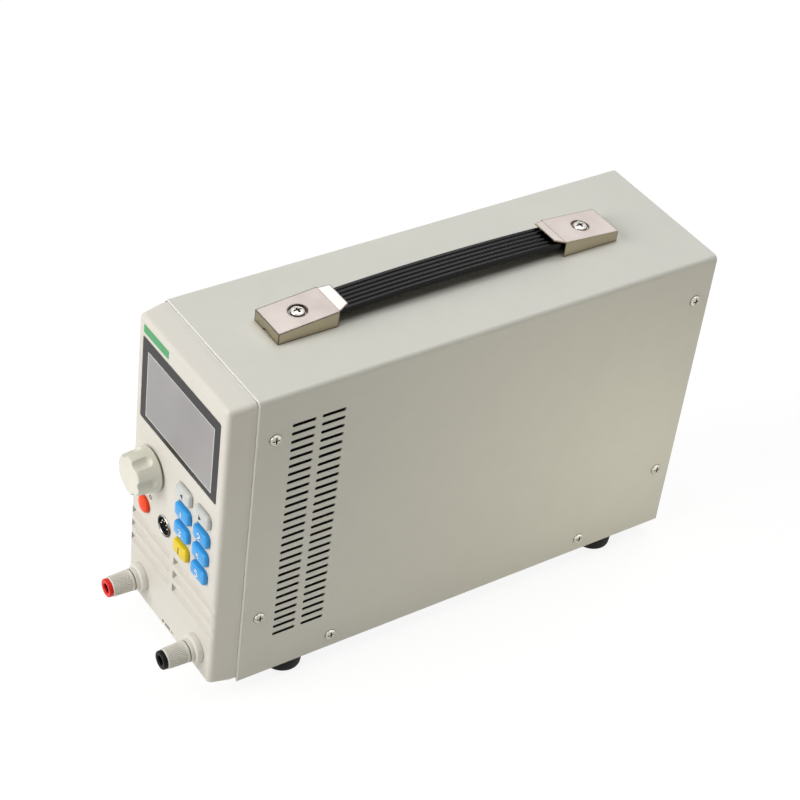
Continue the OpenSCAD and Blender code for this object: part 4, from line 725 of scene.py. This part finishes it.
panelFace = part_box("front_bezel")[0].y
digits = {  # strokes in a box one unit tall
    "1": [[(-0.2, 0.28), (0.05, 0.5), (0.05, -0.5)]],
    "2": [[(-0.3, 0.28), (-0.17, 0.46), (0.08, 0.5), (0.28, 0.38), (0.29, 0.18), (0.12, -0.06),
           (-0.3, -0.5), (0.32, -0.5)]],
    "3": [[(-0.28, 0.38), (0, 0.5), (0.25, 0.38), (0.26, 0.18), (0.02, 0.03), (0.29, -0.14),
           (0.27, -0.38), (0, -0.5), (-0.3, -0.38)]],
    "4": [[(0.12, -0.5), (0.12, 0.5)], [(0.12, 0.48), (-0.3, -0.2)], [(-0.36, -0.2), (0.34, -0.2)]],
    "5": [[(0.28, 0.5), (-0.22, 0.5), (-0.27, 0.06), (0.05, 0.12), (0.28, -0.06), (0.27, -0.34),
           (0.04, -0.5), (-0.3, -0.4)]],
    "plus": [[(-0.4, 0), (0.4, 0)], [(0, -0.4), (0, 0.4)]],
    "minus": [[(-0.4, 0), (0.4, 0)]],
    "bar": [[(0, -0.5), (0, 0.5)]],
    "ring": [[(0.45 * math.cos(tau * k / 24), 0.45 * math.sin(tau * k / 24)) for k in range(25)]],
    "power": [[(0.42 * math.sin(a), 0.42 * math.cos(a)) for a in
               [math.radians(40 + 280 * k / 20) for k in range(21)]], [(0, 0.05), (0, 0.55)]],
    "direct": [[(-0.9, 0.16), (0.9, 0.16)], [(-0.9, -0.16), (-0.42, -0.16)], [(-0.24, -0.16), (0.24, -0.16)],
               [(0.42, -0.16), (0.9, -0.16)]],
    "left": [[(0.3, 0.42), (-0.36, 0), (0.3, -0.42), (0.3, 0.42)]],
    "right": [[(-0.3, 0.42), (0.36, 0), (-0.3, -0.42), (-0.3, 0.42)]],
}
markLook = {"thick": 0.05 * mm, "line": 0.19, "filled": ("left", "right")}


def mark(shape, kind, place, tall, look=markLook):  # a flat printed mark
    wide = look["line"] * tall
    for stroke in digits[kind]:
        points = [Vector((x * tall, y * tall)) for x, y in stroke]
        if kind in look["filled"]:
            shape.loft([[(p.x, p.y, h) for p in points[:-1]] for h in (0, look["thick"])], place)
            continue
        left, right = [], []
        for i, p in enumerate(points):
            run = points[min(i + 1, len(points) - 1)] - points[max(i - 1, 0)]
            side = Vector((-run.y, run.x)).normalized() * wide / 2
            left.append(p + side)
            right.append(p - side)
        rings = [[(a.x, a.y, 0), (b.x, b.y, 0), (b.x, b.y, look["thick"]), (a.x, a.y, look["thick"])]
                 for a, b in zip(left, right)]
        shape.loft(rings, place)


keyLook = {"rim": 0.8 * mm, "corner": 2.3 * mm, "edge": 1.15 * mm, "crown": 0.3 * mm, "rear": 2.8 * mm,
           "leastFace": 0.3 * mm, "leastR": 0.25 * mm, "markTall": 3.6 * mm, "arrowTall": 3.3 * mm,
           "markUp": 0.02 * mm}
keyMarks = {"key_left": "left", "key_right": "right", "key_blue_1": "1", "key_blue_2": "2", "key_blue_3": "3",
            "key_blue_4": "4", "key_blue_5": "5", "key_yellow": "bar"}


def keyPiece(node, look):
    low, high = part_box(node)
    w = high.x - low.x - 2 * look["rim"]
    h = high.z - low.z - 2 * look["rim"]
    out = panelFace - low.y
    spot = Vector(((low.x + high.x) / 2, panelFace, (low.z + high.z) / 2))
    place = standing("front", spot)
    flat = out - look["crown"]
    rings = [roundRect(w, h, look["corner"], -look["rear"])]
    for k in range(9):  # rounded edge
        a = tau / 4 * k / 8
        inset = look["edge"] * (1 - math.cos(a))
        rings.append(roundRect(w - 2 * inset, h - 2 * inset, look["corner"] - inset,
                               flat - look["edge"] + look["edge"] * math.sin(a)))
    for k in range(1, 6):  # crowned face
        part = k / 6
        inset = look["edge"] + part * (h / 2 - look["edge"] - look["leastFace"])
        r = max(look["corner"] - inset, look["leastR"])
        rings.append(roundRect(w - 2 * inset, h - 2 * inset, r, flat + look["crown"] * (1 - (1 - part) ** 2)))
    slot = [row["material_slot"] for row in frame["record"]["subparts"] if row["node"] == node][0]
    Shape().loft(rings, place).piece(node + "_cap", node, finishes[slot], [node], slot, sharp=50)
    printed = Shape()
    dark = slot != "key_blue"
    tall = look["arrowTall"] if slot == "key_grey" else look["markTall"]
    markSpot = spot + Vector((0, look["markUp"] - out, 0))
    mark(printed, keyMarks[node], standing("front", markSpot), tall)
    printed.piece(node + "_mark", node, inkDark if dark else inkWhite, slot=slot)


for keyNode in keyMarks:
    keyPiece(keyNode, keyLook)

buttonLook = {"dome": 1.2 * mm, "edge": 0.7 * mm, "rear": 2.8 * mm, "rim": 0.8 * mm, "rings": 8,
              "round": (0.2 * mm, 0.3 * mm, 0.62 * mm)}


def redButton(look):  # gives back its place on the panel
    low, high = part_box("key_red")
    r = (high.x - low.x) / 2 - look["rim"]
    out = panelFace - low.y
    spot = Vector(((low.x + high.x) / 2, panelFace, (low.z + high.z) / 2))
    shoulder = out - look["dome"]
    below, corner, above = look["round"]
    faceR = r - look["edge"]
    outline = [(r, -look["rear"])]
    outline += fillet((r, shoulder - below), (r, shoulder + corner), (faceR, shoulder + above))
    for k in range(1, look["rings"] + 1):
        part = 1 - k / look["rings"]
        outline.append((faceR * part, out - (look["dome"] - above) * part ** 2))
    Shape().lathe(outline, standing("front", spot)).piece("redButton", "key_red", finishes["key_red"],
                                                          ["key_red"], "key_red", sharp=50)
    return spot


buttonSpot = redButton(buttonLook)
print("keys made:", len(keyMarks) + 1)


# Knob

knobShape = {"skirtEdge": 0.5 * mm, "skirt": 1 * mm, "faceR": 10.0 * mm, "faceEdge": 0.9 * mm, "steps": 240,
             "flutes": 6, "fluteR": 3.1 * mm, "fluteDepth": 1.5 * mm, "fluteEnd": 5.6 * mm, "turn": 3,
             "scoopRings": 14, "upperRings": [7 * mm, 8.4 * mm, 9.8 * mm], "dish": 0.25 * mm,
             "dishRim": (1.6 * mm, 0.1 * mm), "dishIn": 2 * mm, "dishRings": (0.9, 0.7, 0.5, 0.3, 0),
             "hollowR": 5.2 * mm, "hollow": 3.4 * mm}


def knobPiece(look):
    low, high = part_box("knob")
    r = (high.x - low.x) / 2
    length = high.y - low.y
    spot = Vector(((low.x + high.x) / 2, high.y, (low.z + high.z) / 2))
    away = look["faceR"] - look["fluteDepth"] + look["fluteR"]

    def fluted(radius, angle, height):
        step = tau / look["flutes"]
        off = (angle - math.radians(look["turn"]) + step / 2) % step - step / 2
        below = max(0, look["fluteEnd"] - height)  # the flute ends in a round scoop
        reach = look["fluteR"] ** 2 - below ** 2 - (away * math.sin(off)) ** 2
        if reach <= 0:
            return radius
        return min(radius, away * math.cos(off) - math.sqrt(reach))

    outline = [(look["hollowR"], look["hollow"]), (look["hollowR"], 0)]
    outline += fillet((r - look["skirtEdge"], 0), (r, 0), (r, look["skirtEdge"]), 4)
    outline += [(r, look["skirt"])]
    taper = (r - look["faceR"]) / (length - look["faceEdge"] - look["skirt"])
    lower = len(outline)
    scoop = [look["fluteEnd"] - look["fluteR"] * math.cos(tau / 4 * k / look["scoopRings"])
             for k in range(look["scoopRings"] + 1)]
    outline += [(r - taper * (h - look["skirt"]), h) for h in scoop + look["upperRings"]]
    outline += fillet((look["faceR"], length - look["faceEdge"]), (look["faceR"], length),
                      (look["faceR"] - look["faceEdge"], length), 6)
    outline += [(look["faceR"] - look["dishRim"][0], length - look["dishRim"][1])]
    outline += [(part * (look["faceR"] - look["dishIn"]), length - look["dish"] * (1 - 0.5 * part ** 2))
                for part in look["dishRings"]]
    rings = []
    for i, (radius, height) in enumerate(outline):
        ring = []
        for k in range(look["steps"]):
            a = tau * k / look["steps"]
            used = fluted(radius, a, height) if i >= lower else radius
            ring.append((used * math.cos(a), used * math.sin(a), height))
        rings.append(ring)
    Shape().loft(rings, standing("front", spot), (True, False)).piece(
        "knobBody", "knob", finishes["knob_plastic"], ["knob"], "knob_plastic", sharp=24)


knobPiece(knobShape)
print("knob made")


# Sense socket

senseLook = {"rimR": 5.5 * mm, "lip": 0.8 * mm, "boreR": 4.4 * mm, "barrelR": 4.8 * mm, "rear": 6 * mm,
             "outerEdge": (0.25 * mm, 0.5 * mm), "innerEdge": (0.35 * mm, 0.5 * mm), "pins": 5, "pinStep": 45,
             "pinR": 0.42 * mm, "pinRing": 0.62, "pinRear": 3 * mm, "pinEdge": 0.1 * mm, "pinOut": 0.5 * mm}


def senseSocket(look):
    low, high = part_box("sense_socket")
    middle = Vector(((low.x + high.x) / 2, panelFace, (low.z + high.z) / 2))
    rimR, lip, boreR, barrelR, rear = (look[key] for key in ("rimR", "lip", "boreR", "barrelR", "rear"))
    outer, inner = look["outerEdge"], look["innerEdge"]
    rim = [(boreR, -rear), (barrelR, -rear), (barrelR, 0), (rimR, 0)]
    rim += fillet((rimR, outer[0]), (rimR, lip), (rimR - outer[1], lip), 6)
    rim += fillet((boreR + inner[0], lip), (boreR, lip), (boreR, lip - inner[1]), 5)
    Shape().lathe(rim, standing("front", middle), 72, loop=True).piece(
        "senseRim", "root", rimNickel, ["sense_socket"], "nickel_plate")
    pins = Shape()
    pinR, pinEdge, pinOut = look["pinR"], look["pinEdge"], look["pinOut"]
    for k in range(look["pins"]):
        a = math.radians(look["pinStep"] * k)
        ring = look["pinRing"] * boreR
        spot = middle + Vector((ring * math.cos(a), 0, ring * math.sin(a)))
        pin = [(pinR, -look["pinRear"]), (pinR, pinEdge)]
        pin += fillet((pinR, pinEdge), (pinR, pinOut), (0, pinOut), 4)
        pins.lathe(pin, standing("front", spot), 20)
    pins.piece("sensePins", "root", contactMetal, slot="nickel_plate")


senseSocket(senseLook)
print("sense socket made")


# Binding posts

postShape = {"boreR": 3.06 * mm, "barrelR": 5 * mm, "barrelL": 3 * mm, "cone": (1.6 * mm, 0.1 * mm, 0.5 * mm),
             "flangeEdge": 0.35 * mm, "neckL": 2.0 * mm, "neck": 0.2 * mm, "neckRound": 0.25 * mm,
             "capEdge": 0.3 * mm, "collar": 1.3 * mm, "collarEdge": (0.25 * mm, 0.12 * mm), "ridges": 36,
             "ridge": 0.36 * mm, "gripIn": 0.08 * mm, "gripEnd": 0.1 * mm, "gripRings": (0, 0.33, 0.67, 1),
             "taper": 0.3 * mm, "nose": 0.7 * mm, "noseIn": 0.1 * mm, "noseEdge": 0.6 * mm,
             "mouthR": 3.8 * mm, "mouthL": 3 * mm, "stemR": 3.7 * mm, "stemL": 2.9 * mm, "tipEdge": 0.7 * mm,
             "holeR": 2.4 * mm, "holeEdge": (1.0 * mm, 0.9 * mm), "holeL": 1.15 * mm, "steps": 264}


def postPieces(side, look):
    baseLow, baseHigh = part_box(side + "_post_base")
    capLow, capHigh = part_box(side + "_post_cap")
    tipLow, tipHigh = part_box(side + "_post_tip")
    middleX = (baseLow.x + baseHigh.x) / 2
    middleZ = (baseLow.z + baseHigh.z) / 2
    baseSpot = Vector((middleX, panelFace, middleZ))
    flangeR = (baseHigh.x - baseLow.x) / 2
    baseL = panelFace - baseLow.y
    capR = (capHigh.x - capLow.x) / 2
    capL = capHigh.y - capLow.y
    neckR = capR + look["neck"]
    boreR, barrelR, barrelL = look["boreR"], look["barrelR"], look["barrelL"]
    coneRound, coneIn, coneFoot = look["cone"]
    cone = baseL - look["neckL"]
    neckRound, edge = look["neckRound"], look["flangeEdge"]
    base = [(boreR, -barrelL), (barrelR, -barrelL), (barrelR, 0), (flangeR, 0)]
    base += fillet((flangeR, cone - coneRound), (flangeR - coneIn, cone - coneIn),
                   (neckR + coneFoot, cone - coneIn), 6)
    base += fillet((neckR + neckRound, cone - coneIn / 2), (neckR, cone), (neckR, cone + neckRound), 4)
    base += fillet((neckR, baseL - edge), (neckR, baseL), (neckR - edge, baseL), 3)
    base += [(boreR, baseL)]
    Shape().lathe(base, standing("front", baseSpot), 96, loop=True).piece(
        side + "PostBase", "root", finishes["post_plastic"], [side + "_post_base"], "post_plastic")

    capSpot = Vector((middleX, capHigh.y, middleZ))
    capEdge, collar, mouthR, mouthL = (look[key] for key in ("capEdge", "collar", "mouthR", "mouthL"))
    outline = [(boreR, 0)]
    outline += fillet((capR - capEdge, 0), (capR, 0), (capR, capEdge), 3)
    outline += [(capR, collar - look["collarEdge"][0]), (capR - look["collarEdge"][1], collar)]
    gripStart = len(outline)
    gripR = capR - look["gripIn"]
    gripL = capL - collar - look["nose"]
    outline += [(gripR - look["taper"] * t, collar + look["gripEnd"] + t * (gripL - 2 * look["gripEnd"]))
                for t in look["gripRings"]]
    gripEnd = len(outline)
    noseR = gripR - look["taper"] - look["noseIn"]
    outline += fillet((noseR, capL - look["nose"]), (noseR, capL), (noseR - look["noseEdge"], capL), 4)
    outline += [(mouthR, capL), (mouthR, capL - mouthL), (boreR, capL - mouthL)]
    rings = []
    for i, (radius, height) in enumerate(outline):
        ring = []
        for k in range(look["steps"]):
            a = tau * k / look["steps"]
            groove = 0.5 - 0.5 * math.cos(a * look["ridges"])
            used = radius - look["ridge"] * groove ** 1.5 if gripStart <= i < gripEnd else radius
            ring.append((used * math.cos(a), used * math.sin(a), height))
        rings.append(ring)
    Shape().loft(rings, standing("front", capSpot), loop=True).piece(
        side + "PostCap", side + "_cap", finishes["post_plastic"], [side + "_post_cap"], "post_plastic",
        sharp=60)

    tipR = (tipHigh.x - tipLow.x) / 2
    tipL = capLow.y - tipLow.y
    tipSpot = Vector((middleX, capLow.y, middleZ))
    slot = "red_plastic" if side == "red" else "black_plastic"
    stemR, stemL, tipEdge, holeR = (look[key] for key in ("stemR", "stemL", "tipEdge", "holeR"))
    tip = [(boreR, -stemL), (stemR, -stemL), (stemR, 0), (tipR, 0)]
    tip += fillet((tipR, tipL - tipEdge), (tipR, tipL), (tipR - tipEdge, tipL), 6)
    tip += fillet((holeR + look["holeEdge"][0], tipL), (holeR, tipL), (holeR, tipL - look["holeEdge"][1]), 5)
    tip += [(holeR, tipL - look["holeL"]), (boreR, tipL - look["holeL"])]
    Shape().lathe(tip, standing("front", tipSpot), 72, loop=True).piece(
        side + "PostTip", side + "_tip", finishes[slot], [side + "_post_tip"], slot)


for side in ("red", "black"):
    postPieces(side, postShape)
print("binding posts made")


# Strap

strapShape = {"w": 16 * mm, "t": 3.6 * mm, "ribs": 6, "halfRun": 61.9 * mm, "rise": 1.5 * mm, "tuck": 4 * mm,
              "valley": 1.2 * mm, "ribWidth": 0.985, "edge": 1.2 * mm, "steps": 90}
tongueShape = {"halfW": 7 * mm, "t": 2.4 * mm, "up": 1.9 * mm, "inset": 2 * mm, "overlap": 1 * mm}


def strapPiece(look, tongue):
    low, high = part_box("strap")
    top = high.z
    middle = (low.y + high.y) / 2
    bowR = (look["halfRun"] ** 2 + look["rise"] ** 2) / (2 * look["rise"])
    pitch = look["w"] / look["ribs"]
    ribR = pitch / 2
    section = []
    for rib in range(look["ribs"]):  # ribbed upper side
        centre = (rib - (look["ribs"] - 1) / 2) * pitch
        for k in range(9):
            a = math.pi * (1 - k / 8)
            dip = max(ribR * math.sin(a) - ribR, -look["valley"])
            section.append((centre + ribR * look["ribWidth"] * math.cos(a), dip))
    section.append((look["w"] / 2, -ribR))
    edge = look["edge"]
    for way in (1, -1):  # rounded lower corners
        for k in range(7):
            a = tau / 4 * (k / 6 if way > 0 else 1 - k / 6)
            section.append((way * (look["w"] / 2 - edge * (1 - math.cos(a))),
                            edge * (1 - math.sin(a)) - look["t"]))
    section.append((-look["w"] / 2, -ribR))
    reach = math.asin((look["halfRun"] + look["tuck"]) / bowR)
    rings = []
    for i in range(look["steps"] + 1):
        a = reach * (2 * i / look["steps"] - 1)
        rings.append([(x, middle + (bowR + n) * math.sin(a), top - bowR + (bowR + n) * math.cos(a))
                      for x, n in section])
    shape = Shape().loft(rings)
    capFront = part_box("strap_cap_front")
    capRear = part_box("strap_cap_rear")
    for box, inner in ((capFront, 1), (capRear, -1)):  # flat tongue inside each cap
        far = box[0].y + tongue["inset"] if inner > 0 else box[1].y - tongue["inset"]
        near = middle - inner * (look["halfRun"] + tongue["overlap"])
        z = box[0].z + tongue["up"]
        corners = ((-1, z), (1, z), (1, z + tongue["t"]), (-1, z + tongue["t"]))
        shape.loft([[(x * tongue["halfW"], y, h) for x, h in corners] for y in sorted((far, near))])
    shape.piece("strapBand", "root", finishes["strap_pvc"], ["strap"], "strap_pvc", sharp=55)


strapPiece(strapShape, tongueShape)
print("strap made")


# Painted highlight: a bright strip on the cover's edge where it meets the front

lipLook = {"out": 0.03 * mm, "thick": 0.45 * mm, "ahead": 0.3 * mm, "behind": 0.45 * mm, "bend": 2.5 * mm}


def coverLip(look):
    low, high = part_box("case_cover")
    half = high.x + look["out"]
    top = high.z + look["out"]

    def outline(inset, y):
        bend = look["bend"] - inset
        side = half - inset
        crest = top - inset
        points = [(-side, y, low.z)]
        for k in range(9):
            a = tau / 4 * k / 8
            points.append((-side + bend * (1 - math.cos(a)), y, crest - bend * (1 - math.sin(a))))
        return points + [(-x, y, z) for x, y, z in reversed(points)]

    front, rear = low.y - look["ahead"], low.y + look["behind"]
    sections = [outline(0, rear), outline(0, front), outline(look["thick"], front),
                outline(look["thick"], rear)]
    rings = [[row[i] for row in sections] for i in range(len(sections[0]))]
    Shape().loft(rings).piece("coverLip", "root", lipHighlight, slot="shell_paint", sharp=50)


coverLip(lipLook)
print("cover's edge made")


# Plain plate above the display, and printed marks on the front and on the switch

plateLook = {"w": 22 * mm, "h": 4.3 * mm, "corner": 0.4 * mm, "thick": 0.15 * mm, "inset": 6.7 * mm,
             "drop": 5.0 * mm, "sunk": 0.1 * mm, "edge": 0.12 * mm}


def plainPlate(look):
    w, h, corner, thick, edge = (look[key] for key in ("w", "h", "corner", "thick", "edge"))
    spot = Vector((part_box("front_bezel")[0].x + look["inset"] + w / 2, panelFace,
                   coverTop - look["drop"] - h / 2))
    rings = [roundRect(w, h, corner, -look["sunk"], 4), roundRect(w, h, corner, thick * 0.6, 4),
             roundRect(w - edge, h - edge, corner * 0.8, thick, 4)]
    Shape().loft(rings, standing("front", spot)).piece("plainPlate", "root", greenPlate, slot="panel_plastic")


printLook = {"tall": 2.4 * mm, "spread": 4.4 * mm, "rise": 5.6 * mm, "power": 2.4 * mm, "above": 0.01 * mm,
             "powerSide": 4.6 * mm, "powerUp": 7.6 * mm}


def frontMarks(look):  # between the posts, and beside the red button
    shape = Shape()
    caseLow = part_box("case_cover")[0].z
    for kind, way in (("plus", -1), ("direct", 0), ("minus", 1)):
        spot = Vector((way * look["spread"], panelFace - look["above"], caseLow + look["rise"]))
        mark(shape, kind, standing("front", spot), look["tall"])
    powerSpot = buttonSpot + Vector((look["powerSide"], -look["above"], look["powerUp"]))
    mark(shape, "power", standing("front", powerSpot), look["power"])
    shape.piece("frontMarks", "root", inkDark, slot="panel_plastic")


switchLook = {"tall": 2.6 * mm, "away": 3.4 * mm, "start": 5 * mm}


def switchMarks(look):  # on and off ends of the rocker
    low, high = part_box("power_rocker")
    shape = Shape()
    across = Vector((-1, 0, 0))
    for kind, way in (("bar", 1), ("ring", -1)):
        start = Vector(((low.x + high.x) / 2, high.y + look["start"],
                        (low.z + high.z) / 2 + way * look["away"]))
        spot, normal = nodes["power_rocker"].ray_cast(start, Vector((0, -1, 0)))[1:3]
        turn = Matrix((across, normal.cross(across), normal)).transposed().to_4x4()
        mark(shape, kind, Matrix.Translation(spot) @ turn, look["tall"])
    shape.piece("switchMarks", "rocker", inkWhite, slot="black_plastic")


plainPlate(plateLook)
frontMarks(printLook)
switchMarks(switchLook)
print("plate and marks made")


print("scene built")
